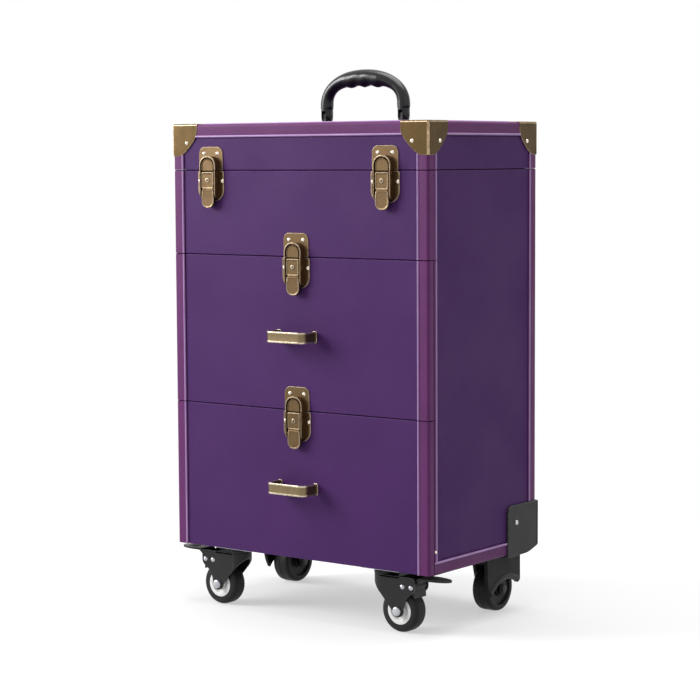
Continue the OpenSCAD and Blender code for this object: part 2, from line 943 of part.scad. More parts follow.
module at_right_caster() {
  placed() translate([caster_x, caster_y, 0]) children();
}

module caster_plate() {
  screw_x = mount_l / 2 - mount_screw_inset;
  pin_low = head_z - head_t - slide_gap;
  block([-mount_l / 2, mount_y[0], z_bot - mount_t], [mount_l / 2, mount_y[1], z_bot]);
  translate([0, 0, pin_low]) cylinder(h = z_bot - mount_t - pin_low, r = kingpin_r);
  translate([0, 0, pin_low - kingpin_head_t]) cylinder(h = kingpin_head_t, r = kingpin_head_r);
  for (x = [-screw_x, screw_x], y = [mount_y[0] + mount_screw_inset, mount_y[1] - mount_screw_inset])
    translate([x, y, z_bot - mount_t]) rotate([180, 0, 0]) rivet_head(screw_r, screw_h);
}

module caster_plates() {
  color(steel) both_sides() at_right_caster() caster_plate();
}

// Side outline of a fork leg: broad under the head, narrowing to the axle
module fork_outline() {
  tail = trail + fork_tail;
  lead = leg_out + over;
  polygon([
    [-lead, head_z], [tail, head_z], [tail, tail_z], [trail + leg_foot_r, wheel_r],
    [trail - leg_foot_r, wheel_r], [-lead, lead_z]
  ]);
  translate([trail, wheel_r]) circle(leg_foot_r);
}

// Plan of a fork: straight along both sides and round in front about the kingpin
module fork_plan(reach, half) {
  circle(half);
  translate([0, -half]) square([reach, 2 * half]);
}

module caster_fork() {
  difference() {
    union() {
      translate([0, 0, head_z]) cylinder(h = race_h, r = race_r);
      translate([0, 0, head_z - head_t]) linear_extrude(head_t) fork_plan(trail, leg_out);
      intersection() {
        translate([0, leg_out + over, 0]) front_plate(2 * (leg_out + over)) fork_outline();
        linear_extrude(caster_h) difference() {
          fork_plan(trail + fork_tail, leg_out);
          fork_plan(trail + fork_tail + over, leg_in);
        }
      }
    }
    translate([0, 0, wheel_r]) cylinder(h = caster_h, r = kingpin_r + fit);
    rod_y(axle_r + fit, -leg_out - over, leg_out + over, trail, wheel_r);
  }
  rod_y(pivot_pin_r, -leg_out - pivot_pin_end, leg_out + pivot_pin_end, pivot_u, pivot_z);
  for (s = [-1, 1]) translate([stop_pin_u, s * leg_out, pivot_z]) rotate([-s * 90, 0, 0])
    rivet_head(screw_r, stop_pin_h);
  caster_axle();
}

// Axle bolt with a round head in front and a nut behind
module caster_axle() {
  rod_y(axle_r, -leg_out, leg_out, trail, wheel_r);
  rod_y(bolt_head_r, -leg_out - bolt_head_t, -leg_out, trail, wheel_r);
  translate([trail, leg_out + bolt_head_t, wheel_r]) rotate([90, 0, 0])
    cylinder(h = bolt_head_t, r = nut_r, $fn = 6);
}

// Tyre section: a ring with rounded shoulders
module tyre_section(r, w, bore) {
  flat = w / 2 - tyre_shoulder;
  intersection() {
    translate([bore, -w / 2]) square([r - bore, w]);
    union() {
      translate([0, -w / 2]) square([r - tyre_shoulder, w]);
      translate([0, -flat]) square([r, 2 * flat]);
      for (y = [-flat, flat]) translate([r - tyre_shoulder, y]) circle(tyre_shoulder);
    }
  }
}

module caster_tyre() {
  translate([trail, 0, wheel_r]) rotate([90, 0, 0]) rotate_extrude() tyre_section(wheel_r, wheel_w, hub_r);
}

// Hub: rim ring, thin web and a bearing boss bored for the axle
module caster_hub() {
  boss_half = wheel_w / 2 + hub_boss_proud;
  translate([trail, 0, wheel_r]) rotate([90, 0, 0]) rotate_extrude() {
    translate([hub_r - hub_rim, -wheel_w / 2]) square([hub_rim, wheel_w]);
    translate([axle_r + fit, -wheel_w / 4]) square([hub_r - hub_rim - axle_r, wheel_w / 2]);
    translate([axle_r + fit, -boss_half]) square([hub_boss_r - axle_r - fit, 2 * boss_half]);
  }
}

// Brake pedal: barrel on its pin, a shoe over the tyre and a foot plate reaching out past the wheel
module brake_pedal() {
  half = pedal_w / 2;
  shoe = [trail, wheel_r] + (wheel_r + shoe_gap) * [cos(shoe_angle), sin(shoe_angle)];
  tip = pedal_reach - half;
  difference() {
    union() {
      rod_y(pedal_barrel_r, -half, half, pivot_u, pivot_z);
      translate([0, half, 0]) front_plate(pedal_w) {
        polygon([
          [pivot_u - pedal_web, pivot_z], shoe, [shoe.x + shoe_w, shoe.y - shoe_w],
          [pivot_u + pedal_web, pivot_z]
        ]);
        polygon([
          [pivot_u, pivot_z - pedal_web], [pivot_u + pedal_slope, pedal_z], [tip, pedal_z],
          [tip, pedal_z + pedal_t], [pivot_u + pedal_slope - shoe_w, pedal_z + pedal_t],
          [pivot_u - pedal_web, pivot_z + pedal_web]
        ]);
      }
      translate([tip, 0, pedal_z]) cylinder(h = pedal_t, r = half);
    }
    rod_y(pivot_pin_r + fit, -half - over, half + over, pivot_u, pivot_z);
  }
}

module left_caster_fork() {
  color(black) mirror([1, 0, 0]) at_right_caster() caster_fork();
}

module right_caster_fork() {
  color(black) at_right_caster() caster_fork();
}

module left_caster_tyre() {
  color(black) mirror([1, 0, 0]) at_right_caster() caster_tyre();
}

module right_caster_tyre() {
  color(black) at_right_caster() caster_tyre();
}

module left_caster_hub() {
  color(white) mirror([1, 0, 0]) at_right_caster() caster_hub();
}

module right_caster_hub() {
  color(white) at_right_caster() caster_hub();
}

module left_brake_pedal() {
  color(black) mirror([1, 0, 0]) at_right_caster() brake_pedal();
}

module right_brake_pedal() {
  color(black) at_right_caster() brake_pedal();
}

// Rear wheels, drawn on the right

// Side outline of the housing's outer skirt: a hood with a wide arch over the wheel's lower half
module skirt_outline() {
  top = z_bot - bed_t;
  difference() {
    polygon([
      [rear_front, top], [rear_back, top], [rear_back, skirt_rear], [rear_back - skirt_slope[1], skirt_foot],
      [rear_back - skirt_slope[2], toe_z], [rear_front + skirt_slope[0], toe_z], [rear_front, skirt_z]
    ]);
    translate(arch) circle(arch_r);
  }
}

// Side outline of the arm behind the arch that holds the axle's outer end
module axle_arm() {
  translate([rear_y - strut_w / 2, rear_r]) square([strut_w, axle_boss_r + strut_w]);
  translate([rear_y, rear_r]) circle(axle_boss_r);
}

// Side outline of the strut behind the wheel, from the bed down to the axle
module strut_outline() {
  polygon([
    [rear_y - strut_top, z_bot - bed_t], [rear_y + strut_top, z_bot - bed_t],
    [rear_y + axle_boss_r, rear_r], [rear_y - axle_boss_r, rear_r]
  ]);
  translate([rear_y, rear_r]) circle(axle_boss_r);
}

// Side outline of the housing's wall, with its upper front corner rounded
module housing_outline(far_y, low, high) {
  r = housing_round;
  translate([housing_front, low]) square([far_y - housing_front, high - low - r]);
  translate([housing_front + r, low]) square([far_y - housing_front - r, high - low]);
  translate([housing_front + r, high - r]) circle(r);
}

module rear_housing() {
  low = z_bot - bed_t;
  high = z_bot + housing_h;
  far_x = half_w + housing_t;
  far_y = y_back + housing_t;
  difference() {
    union() {
      translate([half_w, 0, 0]) side_plate(housing_t) housing_outline(far_y, low, high);
      block([housing_inner, y_back, low], [far_x, far_y, high]);
      block([housing_inner, housing_front, low], [far_x, far_y, z_bot]);
      block([rear_x - rear_leg_out, rear_front, low], [rear_x + rear_leg_out, rear_back, z_bot]);
      translate([rear_x + rear_leg_in, 0, 0]) {
        side_plate(rear_leg_t) skirt_outline();
        side_plate(arm_t) axle_arm();
      }
      translate([rear_x - rear_leg_out, 0, 0]) side_plate(rear_leg_t) strut_outline();
    }
    rod_x(rear_axle_r + fit, rear_x - rear_leg_out - over, rear_x + rear_leg_out + over, rear_y, rear_r);
  }
  translate([far_x, housing_front + housing_screw.x, z_bot + housing_screw.y]) rotate([0, 90, 0])
    rivet_head(screw_r, screw_h);
  rear_axle();
}

module rear_axle() {
  inner = rear_x - rear_leg_out - glue;
  outer = rear_x + rear_leg_in + arm_t + glue;
  rod_x(rear_axle_r, inner, outer, rear_y, rear_r);
  for (x = [inner - axle_clip_t, outer]) rod_x(axle_clip_r, x, x + axle_clip_t, rear_y, rear_r);
}

module rear_wheel_housings() {
  color(black) placed() both_sides() rear_housing();
}

// Solid wheel with a shallow dish in each face
module rear_wheel() {
  dish = [axle_boss_r + 1, rear_r - 8];
  placed() translate([rear_x, rear_y, rear_r]) rotate([0, 90, 0]) rotate_extrude() difference() {
    tyre_section(rear_r, rear_w, rear_axle_r + fit);
    for (s = [-1, 1]) translate([dish[0], s * rear_w / 2 - dish_t]) square([dish[1] - dish[0], 2 * dish_t]);
  }
}

module left_rear_wheel() {
  color(black) mirror([1, 0, 0]) rear_wheel();
}

module right_rear_wheel() {
  color(black) rear_wheel();
}

// Trolley handle

module trolley_outer_tube(x) {
  difference() {
    block([x - tube_w / 2, tube_y, tube_z[0]], [x + tube_w / 2, tube_y + tube_d, tube_z[1]]);
    block([x - tube_w / 2 + tube_wall, tube_y + tube_wall, tube_z[0] - over],
          [x + tube_w / 2 - tube_wall, tube_y + tube_d - tube_wall, tube_z[1] + over]);
  }
}

module trolley_outer_tubes() {
  color(steel) placed() for (x = [-tube_x, tube_x]) trolley_outer_tube(x);
}

// A moulded block that holds an outer tube on the back panel between two heights
module trolley_bracket(x, z0, z1) {
  side = tube_w / 2 + bracket_wall;
  hole = tube_w / 2 + glue;
  difference() {
    block([x - side, y_back, z0], [x + side, tube_y + tube_d + bracket_wall, z1]);
    block([x - hole, tube_y - glue, tube_z[0] - glue],
          [x + hole, tube_y + tube_d + glue, tube_z[1] + over]);
  }
}

module trolley_brackets() {
  color(black) placed() for (x = [-tube_x, tube_x]) {
    trolley_bracket(x, tube_z[0] - socket_floor, tube_z[0] + socket_h);
    trolley_bracket(x, tube_z[1] - collar_h, tube_z[1]);
  }
}

module trolley_inner_tube(x) {
  y0 = tube_y + inner_gap;
  difference() {
    block([x - inner_w / 2, y0, inner_z0], [x + inner_w / 2, y0 + inner_d, trolley_grip_z]);
    block([x - inner_w / 2 + tube_wall, y0 + tube_wall, inner_z0 - over],
          [x + inner_w / 2 - tube_wall, y0 + inner_d - tube_wall, trolley_grip_z + over]);
  }
}

module trolley_inner_tubes() {
  color(steel) placed() for (x = [-tube_x, tube_x]) trolley_inner_tube(x);
}

// Cross-section of the grip in Y and Z, with rounded edges
module trolley_grip_section() {
  r = trolley_grip_round;
  depth = trolley_grip_y[1] - trolley_grip_y[0];
  translate([trolley_grip_y[0], trolley_grip_z]) {
    translate([r, 0]) square([depth - 2 * r, trolley_grip_h]);
    translate([0, r]) square([depth, trolley_grip_h - 2 * r]);
    for (y = [r, depth - r], z = [r, trolley_grip_h - r]) translate([y, z]) circle(r);
  }
}

module trolley_grip() {
  color(black) placed() difference() {
    translate([-trolley_grip_l / 2, 0, 0]) side_plate(trolley_grip_l) trolley_grip_section();
    block([-button_l / 2, trolley_grip_mid - button_w / 2, trolley_grip_top - button_deep],
          [button_l / 2, trolley_grip_mid + button_w / 2, trolley_grip_top + over]);
  }
}

module trolley_button() {
  half_l = button_l / 2 - slide_gap;
  half_d = button_w / 2 - slide_gap;
  low = trolley_grip_top - button_deep + button_travel + room;
  color(steel) placed() block([-half_l, trolley_grip_mid - half_d, low],
                              [half_l, trolley_grip_mid + half_d, trolley_grip_top + button_proud]);
}

left_side_panel();
right_side_panel();
back_panel();
bottom_panel();
compartment_floor();
compartment_front();
drawer_divider();
case_binding();
case_drawer_rails();
hinge_case_leaves();
hinge_pins();
rear_wheel_housings();
caster_plates();
lid_latch_bases();
upper_drawer_catch();
case_rivets();
trolley_outer_tubes();
trolley_brackets();
lid_top_panel();
lid_walls();
lid_binding();
lid_corners();
lid_rivets();
lid_catches();
hinge_lid_leaves();
handle_brackets();
carry_handle();
lid_stays();
left_lid_latch_lever();
right_lid_latch_lever();
upper_drawer_latch_lever();
lower_drawer_latch_lever();
upper_drawer_front();
upper_drawer_box();
upper_drawer_binding();
upper_drawer_rails();
upper_drawer_pull();
upper_drawer_latch_base();
lower_drawer_catch();
upper_drawer_rivets();
lower_drawer_front();
lower_drawer_box();
lower_drawer_binding();
lower_drawer_rails();
lower_drawer_pull();
lower_drawer_latch_base();
lower_drawer_rivets();
left_caster_fork();
right_caster_fork();
left_caster_tyre();
right_caster_tyre();
left_caster_hub();
right_caster_hub();
left_brake_pedal();
right_brake_pedal();
left_rear_wheel();
right_rear_wheel();
trolley_inner_tubes();
trolley_grip();
trolley_button();
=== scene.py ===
from math import acos, asin, cos, degrees, pi, radians, sin

import bmesh
import bpy
from bmesh.types import BMEdge, BMFace, BMVert
from mathutils import Matrix, Vector


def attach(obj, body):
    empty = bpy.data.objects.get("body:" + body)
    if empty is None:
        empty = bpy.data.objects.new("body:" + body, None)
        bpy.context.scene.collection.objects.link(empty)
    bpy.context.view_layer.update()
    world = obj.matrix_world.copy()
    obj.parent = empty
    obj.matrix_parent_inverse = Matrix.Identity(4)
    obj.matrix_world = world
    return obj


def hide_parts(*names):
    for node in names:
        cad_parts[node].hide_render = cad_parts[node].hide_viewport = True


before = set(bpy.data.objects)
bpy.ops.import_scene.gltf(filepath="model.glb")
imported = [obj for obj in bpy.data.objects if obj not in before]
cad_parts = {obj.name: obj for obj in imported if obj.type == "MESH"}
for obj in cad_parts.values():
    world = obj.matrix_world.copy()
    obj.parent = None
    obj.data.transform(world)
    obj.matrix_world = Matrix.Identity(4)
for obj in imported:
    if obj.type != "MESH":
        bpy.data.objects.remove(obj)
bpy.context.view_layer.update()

# Covered panels of the shell: boards of pressed fibre wrapped in purple leatherette, glued and nailed.
# The covering of each outer face stops short of the edges, where the bindings lap over the boards.
# All sizes are in millimetres and are brought to metres when a piece is finished.

mm = 0.001


def shape():
    """An empty mesh whose faces can be marked paler, for wear and painted highlight on edges, and darker, for
    patina and painted shade in recesses.
    """
    bm = bmesh.new()
    bm.faces.layers.float.new("wear_and_highlight_mask")
    bm.faces.layers.float.new("recess")
    return bm


def ease_edges(bm, edges, radius, steps=3):
    """Rounds edges and marks the rounded strips to be paler, where the finish wears first and where a painted
    highlight runs along the round.
    """
    wear_and_highlight = bm.faces.layers.float["wear_and_highlight_mask"]
    made = bmesh.ops.bevel(bm, geom=list(edges), offset=radius, offset_type='OFFSET', segments=steps,
                           profile=0.5, affect='EDGES', material=-1, clamp_overlap=True)
    for face in made["faces"]:
        face[wear_and_highlight] = 1.0


def board(low, high, ease=0.6):
    """A board between two corners with eased edges."""
    bm = shape()
    bmesh.ops.create_cube(bm, size=1.0)
    bmesh.ops.scale(bm, vec=[b - a for a, b in zip(low, high)], verts=bm.verts)
    bmesh.ops.translate(bm, vec=[(a + b) / 2 for a, b in zip(low, high)], verts=bm.verts)
    ease_edges(bm, bm.edges[:], ease)
    return bm


def mirrored(bm, across=(-1, 1, 1)):
    """The twin of a shape, left for right unless told otherwise."""
    twin = bm.copy()
    bmesh.ops.scale(twin, vec=across, verts=twin.verts)
    bmesh.ops.reverse_faces(twin, faces=twin.faces)
    return twin


def pair(bm):
    """A right-hand shape and its left-hand twin."""
    return [bm, mirrored(bm)]


def pairs(shapes):
    """Right-hand shapes and their left-hand twins."""
    return [twin for bm in shapes for twin in pair(bm)]


def finished(shapes, used):
    """Shapes that share a finish, each given with it."""
    return [(bm, used) for bm in shapes]


def piece(name, body, parts, stands_for=()):
    """Joins finished shapes, given with their finishes, into one piece that rides on a body."""
    whole = shape()
    mesh = bpy.data.meshes.new(name)
    finishes = []
    for bm, used in parts:
        if used not in finishes:
            finishes.append(used)
            mesh.materials.append(used)
        for face in bm.faces:
            face.material_index = finishes.index(used)
        part = bpy.data.meshes.new("part")
        bm.to_mesh(part)
        whole.from_mesh(part)
        bpy.data.meshes.remove(part)
        bm.free()
    bmesh.ops.recalc_face_normals(whole, faces=whole.faces)
    bmesh.ops.scale(whole, vec=(mm, mm, mm), verts=whole.verts)
    whole.to_mesh(mesh)
    whole.free()
    mesh.shade_smooth()
    mesh.set_sharp_from_angle(angle=radians(50))
    made = bpy.data.objects.new(name, mesh)
    bpy.context.scene.collection.objects.link(made)
    made.modifiers.new("even shading", 'WEIGHTED_NORMAL').keep_sharp = True
    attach(made, body)
    if stands_for:
        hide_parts(*stands_for)
    return made


def linear(r, g, b):
    """A colour as seen on a screen, 0 to 255, as shader values."""
    return [((c / 255 + 0.055) / 1.055) ** 2.4 if c > 10 else c / 255 / 12.92 for c in (r, g, b)] + [1.0]


def node(tree, kind, inputs=(), **settings):
    """Adds a shader node, with values or other nodes' outputs at its inputs."""
    made = tree.nodes.new("ShaderNode" + kind)
    for key, value in settings.items():
        setattr(made, key, value)
    for key, value in dict(inputs).items():
        if isinstance(value, bpy.types.NodeSocket):
            tree.links.new(value, made.inputs[key])
        else:
            made.inputs[key].default_value = value
    return made


def noise(tree, vector, scale, detail, roughness=0.5):
    """Cloudy noise over the surface."""
    return node(tree, "TexNoise", {"Vector": vector, "Scale": scale, "Detail": detail,
                                   "Roughness": roughness}).outputs["Fac"]


def ranged(tree, value, low, high, **settings):
    """A value spread out, from nought at a low level to one at a high level."""
    return node(tree, "MapRange", {"Value": value, "From Min": low, "From Max": high},
                **settings).outputs["Result"]


def worked(tree, operation, a, b):
    """The result of one sum on two values."""
    return node(tree, "Math", {0: a, 1: b}, operation=operation).outputs[0]


def mixed(tree, share, a, b):
    """Two colours mixed by a share."""
    return node(tree, "Mix", {0: share, 6: a, 7: b}, data_type='RGBA').outputs[2]


def effect(name, inputs, outputs):
    """A node group for one effect, with a vector and named values going in and masks coming out."""
    group = bpy.data.node_groups.new(name, 'ShaderNodeTree')
    group.interface.new_socket("Vector", in_out='INPUT', socket_type='NodeSocketVector')
    for label, value in inputs:
        group.interface.new_socket(label, in_out='INPUT', socket_type='NodeSocketFloat').default_value = value
    for label in outputs:
        group.interface.new_socket(label, in_out='OUTPUT', socket_type='NodeSocketFloat')
    return group, group.nodes.new("NodeGroupInput").outputs, group.nodes.new("NodeGroupOutput").inputs


def give(group, result, **masks):
    """Leads masks out of an effect by their names."""
    for label, mask in masks.items():
        group.links.new(mask, result[label])


# Broad cloudy change of tone, as in any dyed sheet or cast metal
mottling, given, result = effect("Mottling", [("Scale", 20.0)], ["Tone"])
cloud = noise(mottling, given["Vector"], given["Scale"], 4.0, 0.6)
give(mottling, result, Tone=ranged(mottling, cloud, 0.3, 0.7))

# Paler colour on the marked edges, for wear and painted highlight, and darker colour in the marked recesses,
# for patina and painted shade, both broken up by noise
edge_and_recess_marks, given, result = effect("Edge and recess marks", [("Scale", 300.0), ("Reach", 0.5)], ["Wear_and_highlight", "Patina_and_shade"])
level = worked(edge_and_recess_marks, 'ADD', noise(edge_and_recess_marks, given["Vector"], given["Scale"], 3.0), given["Reach"])
patchy = ranged(edge_and_recess_marks, level, 0.75, 1.15)
for mark, label in (("wear_and_highlight_mask", "Wear_and_highlight"), ("recess", "Patina_and_shade")):
    marked = node(edge_and_recess_marks, "Attribute", attribute_name=mark).outputs["Fac"]
    give(edge_and_recess_marks, result, **{label: worked(edge_and_recess_marks, 'MULTIPLY', marked, patchy)})

# Embossed leather grain: irregular pebbles about a millimetre across with creases between them, which the
# finishes darken as painted shade
leather_grain, given, result = effect("Leather grain", [("Scale", 850.0)], ["Height", "Crease"])
warp = node(leather_grain, "TexNoise", {"Vector": given["Vector"], "Scale": 260.0, "Detail": 2.0})
drift = node(leather_grain, "VectorMath", {0: warp.outputs["Color"], "Scale": 0.0016}, operation='SCALE')
bent = node(leather_grain, "VectorMath", {0: given["Vector"], 1: drift.outputs[0]}, operation='ADD')
pebbles = node(leather_grain, "TexVoronoi", {"Vector": bent.outputs[0], "Scale": given["Scale"]},
               feature='DISTANCE_TO_EDGE')
domed = ranged(leather_grain, pebbles.outputs["Distance"], 0.0, 0.22, interpolation_type='SMOOTHSTEP')
give(leather_grain, result, Height=domed, Crease=worked(leather_grain, 'SUBTRACT', 1.0, domed))

crease_shade, relief_depth = 0.35, 0.0002


def finish(name, colour, shade, detail, detail_scale, roughness=0.5, uneven=0.12, bump=0.25,
           tone_scale=18.0, creased=0.25, wear_and_highlight=None, mark_reach=0.4, patina_and_shade=None, **sockets):
    """A finish: a cloudy colour with bumps and darkened creases, paler on marked edges for wear and painted
    highlight, and darker in marked recesses for patina and painted shade.
    """
    made = bpy.data.materials.new(name)
    made.use_nodes = True
    tree = made.node_tree
    shader = tree.nodes["Principled BSDF"]
    spot = node(tree, "TexCoord").outputs["Object"]
    tone = node(tree, "Group", {"Vector": spot, "Scale": tone_scale}, node_tree=mottling).outputs["Tone"]
    fine = node(tree, "Group", {"Vector": spot, "Scale": detail_scale}, node_tree=detail).outputs
    marks = node(tree, "Group", {"Vector": spot, "Reach": mark_reach}, node_tree=edge_and_recess_marks).outputs
    # Darkening along the detail's creases: painted shade in the leather grain's creases, and pits, scuffs,
    # grain lines and nap in the other finishes.
    crease_shade_and_marks = worked(tree, 'MULTIPLY', fine["Crease"], creased)
    hue = mixed(tree, tone, linear(*colour), linear(*shade))
    hue = mixed(tree, crease_shade_and_marks, hue, [c * crease_shade for c in linear(*shade)[:3]] + [1.0])
    # Marked edges turn paler, as wear and painted highlight, and marked recesses darker, as patina and
    # painted shade.
    if wear_and_highlight:
        hue = mixed(tree, marks["Wear_and_highlight"], hue, linear(*wear_and_highlight))
    if patina_and_shade:
        hue = mixed(tree, marks["Patina_and_shade"], hue, linear(*patina_and_shade))
    tree.links.new(hue, shader.inputs["Base Color"])
    gloss = node(tree, "Math", {0: tone, 1: uneven, 2: roughness - uneven / 2}, operation='MULTIPLY_ADD')
    tree.links.new(gloss.outputs[0], shader.inputs["Roughness"])
    relief = node(tree, "Bump", {"Height": fine["Height"], "Strength": bump, "Distance": relief_depth})
    tree.links.new(relief.outputs["Normal"], shader.inputs["Normal"])
    for socket, value in sockets.items():
        shader.inputs[socket.replace("_", " ")].default_value = value
    return made


leatherette = finish("purple leatherette", (76, 38, 99), (69, 33, 92), leather_grain, 900.0,
                     roughness=0.5, bump=0.3, creased=0.2, tone_scale=9.0, wear_and_highlight=(96, 62, 118),
                     Specular_IOR_Level=0.14)

half_w, front_y, back_y, side_y, wall = 205.0, -122.0, 122.0, -111.0, 9.0
in_x, in_back = half_w - wall, back_y - wall
bottom_z, line_2, line_1, lid_z, top_z, half_gap = 80.0, 273.0, 470.0, 580.0, 639.0, 0.6
lap, skin, cover_t = 17.7, 0.8, 2.0
rim_z = lid_z - half_gap


def front_boards(low, high, back, cover_high):
    """A board across the front, and the covering that lies on it between the bindings."""
    return [board((skin - half_w, skin + front_y, low), (half_w - skin, back, high), skin),
            board((lap - half_w, front_y, low), (half_w - lap, front_y + cover_t, cover_high), skin)]


for name, twin in (("right_side_panel", False), ("left_side_panel", True)):
    boards = [board((in_x, side_y, bottom_z), (half_w - skin, back_y - skin, rim_z), skin),
              board((half_w - cover_t, front_y + lap, bottom_z + lap), (half_w, back_y - lap, rim_z), skin)]
    piece(name + "_covered", "case",
          finished([mirrored(b) if twin else b for b in boards], leatherette), [name])

boards = [board((-in_x, in_back, bottom_z + wall), (in_x, back_y - skin, rim_z), skin),
          board((lap - half_w, back_y - cover_t, bottom_z + lap), (half_w - lap, back_y, rim_z), skin)]
piece("back_panel_covered", "case", finished(boards, leatherette), ["back_panel"])
piece("compartment_front_covered", "case",
      finished(front_boards(line_1 + half_gap, rim_z, side_y, rim_z), leatherette), ["compartment_front"])

# Lid boards: a top board over four walls, butted and glued, wrapped in the same leatherette as the shell.
# The covering stops short of every upper and upright edge for the bindings.

lid_low, lid_high = lid_z + half_gap, top_z - 8
front_wall = front_boards(lid_low, lid_high, front_y + wall, top_z - lap)
rear_wall = [b.copy() for b in front_wall]
for b in rear_wall:
    bmesh.ops.rotate(b, cent=(0, 0, 0), matrix=Matrix.Rotation(pi, 3, 'Z'), verts=b.verts)
side_wall = [board((in_x, front_y + wall, lid_low), (half_w - skin, back_y - wall, lid_high), skin),
             board((half_w - cover_t, front_y + lap, lid_low), (half_w, back_y - lap, top_z - lap), skin)]
piece("lid_walls_covered", "lid",
      finished(front_wall + rear_wall + pairs(side_wall), leatherette), ["lid_walls"])
top_x, top_y = half_w - skin, back_y - skin
boards = [board((-top_x, -top_y, lid_high), (top_x, top_y, top_z - skin), skin),
          board((lap - half_w, front_y + lap, top_z - cover_t), (half_w - lap, back_y - lap, top_z), skin)]
piece("lid_top_covered", "lid", finished(boards, leatherette), ["lid_top_panel"])

# Drawer fronts: thicker boards covered in leatherette, bound on their upright edges only.
# They overlay the shell's opening, with a narrow gap at the parting lines.

drawer_front_t = 10.0
drawers = (("lower_drawer", bottom_z + half_gap, line_2 - half_gap),
           ("upper_drawer", line_2 + half_gap, line_1 - half_gap))
for name, low, high in drawers:
    piece(name + "_front_covered", name,
          finished(front_boards(low, high, front_y + drawer_front_t, high), leatherette), [name + "_front"])

# Edge bindings: strips of a redder, glossier leatherette folded round the edges of shell, lid and fronts.
# Each strip is turned under along its inner edge, over a cord that stands up as a bead, paler than the strip
# and paler still as a painted highlight along its round.


def only(kind, made):
    """The vertices, edges or faces among the things that an operator made."""
    return [item for item in made if isinstance(item, kind)]


def swept(section, stations):
    """A closed flat section carried through a row of places and closed at both ends."""
    bm = shape()
    ends = [bm.verts.new((x, y, 0)) for x, y in section]
    bm.faces.new(ends)
    bmesh.ops.transform(bm, matrix=stations[0], verts=ends)
    face = bm.faces[:][0]
    for before, after in zip(stations, stations[1:]):
        lifted = bmesh.ops.extrude_face_region(bm, geom=[face])["geom"]
        face = only(BMFace, lifted)[0]
        bmesh.ops.transform(bm, matrix=after @ before.inverted(), verts=only(BMVert, lifted))
    bmesh.ops.recalc_face_normals(bm, faces=bm.faces)
    return bm


def place(corner, u, v, along):
    """A place with its own two section directions and its direction of travel."""
    return Matrix([[a, b, c, d] for a, b, c, d in zip(u, v, along, corner)] + [[0, 0, 0, 1]])


def strip(section, corner, u, v, run):
    """A straight length of a section, run from a corner of the case."""
    along = Vector(run).normalized()
    start = place(corner, u, v, along)
    return swept(section, [start, Matrix.Translation(run) @ start])


def arc(cx, cy, r, start, end, steps):
    """Points on a round, by angles in degrees."""
    return [(cx + r * cos(radians(start + (end - start) * i / steps)),
             cy + r * sin(radians(start + (end - start) * i / steps))) for i in range(steps + 1)]


def circle(r, sides, cx=0, cy=0):
    """Points all round a circle."""
    return arc(cx, cy, r, 0, 360 - 360 / sides, sides - 1)


binding = finish("bound edge leatherette", (105, 47, 105), (94, 40, 95), leather_grain, 950.0,
                 roughness=0.42, bump=0.25, creased=0.15, tone_scale=12.0, wear_and_highlight=(136, 84, 140),
                 Specular_IOR_Level=0.18)
# Bead colour: a paler cord, made paler still as a painted highlight along its round.
bead = finish("pale bead with painted highlight", (176, 138, 192), (160, 122, 178), leather_grain, 1100.0, roughness=0.36,
              bump=0.12, creased=0.12, tone_scale=30.0, Specular_IOR_Level=0.5)

fold_t, fold_r, turn_in, bead_r, bead_in, bead_sink = 1.8, 3.5, 0.5, 1.45, 1.5, 0.2


def fold(a, b):
    """Section of a strip folded round an edge, a wide on one face and b wide on the other."""
    return ([(a, fold_t), (a, turn_in), (a - turn_in, 0)] + arc(fold_r, fold_r, fold_r, 270, 180, 5) +
            [(0, b - turn_in), (turn_in, b), (fold_t, b), (fold_t, fold_t)])


def bead_at(u, v):
    """Section of a bead about its middle."""
    return circle(bead_r, 12, u, v)


def bound_edge(corner, u, v, run, a, b, trim_start=0.0, trim_end=0.0, beads=(True, True)):
    """A folded strip and the beads along its inner edges, which are trimmed under the corner caps."""
    along = Vector(run).normalized()
    made = [(strip(fold(a, b), corner, u, v, run), binding)]
    start, length = Vector(corner) + along * trim_start, Vector(run) - along * (trim_start + trim_end)
    for wanted, middle in zip(beads, ((a - bead_in, bead_sink), (bead_sink, b - bead_in))):
        if wanted:
            made.append((strip(bead_at(*middle), start, u, v, length), bead))
    return made


out, width, edge_w = 1.0, 17.5, 5.5
far_x, far_front, far_back = half_w + out, front_y - out, back_y + out
low_z, high_z = bottom_z - out, top_z + out
narrow = [(0, fold_t), (0, 0.4), (0.4, 0), (edge_w - 0.4, 0), (edge_w, 0.4), (edge_w, fold_t)]
housing_front, housing_top, housing_in = 52.5, 144.5, 143.5
strips = bound_edge((-housing_in, far_back, low_z), (0, 0, 1), (0, -1, 0), (2 * housing_in, 0, 0),
                    width, width)
for s in (-1, 1):
    strips += bound_edge((s * far_x, far_front, line_1 + half_gap), (-s, 0, 0), (0, 1, 0),
                         (0, 0, lid_z - line_1 - 2 * half_gap), width, width)
    strips += bound_edge((s * far_x, far_back, housing_top), (-s, 0, 0), (0, -1, 0),
                         (0, 0, rim_z - housing_top), width, width)
    strips += bound_edge((s * far_x, side_y, low_z), (0, 0, 1), (-s, 0, 0), (0, housing_front - side_y, 0),
                         width, width)
    foot, rise = (s * far_x, side_y, low_z + width - 0.3), (0, 0, line_1 - low_z - width)
    for section, used in ((narrow, binding), (bead_at(edge_w - bead_in, bead_sink), bead)):
        strips.append((strip(section, foot, (0, 1, 0), (-s, 0, 0), rise), used))
piece("case_edge_binding", "case", strips, ["case_binding"])

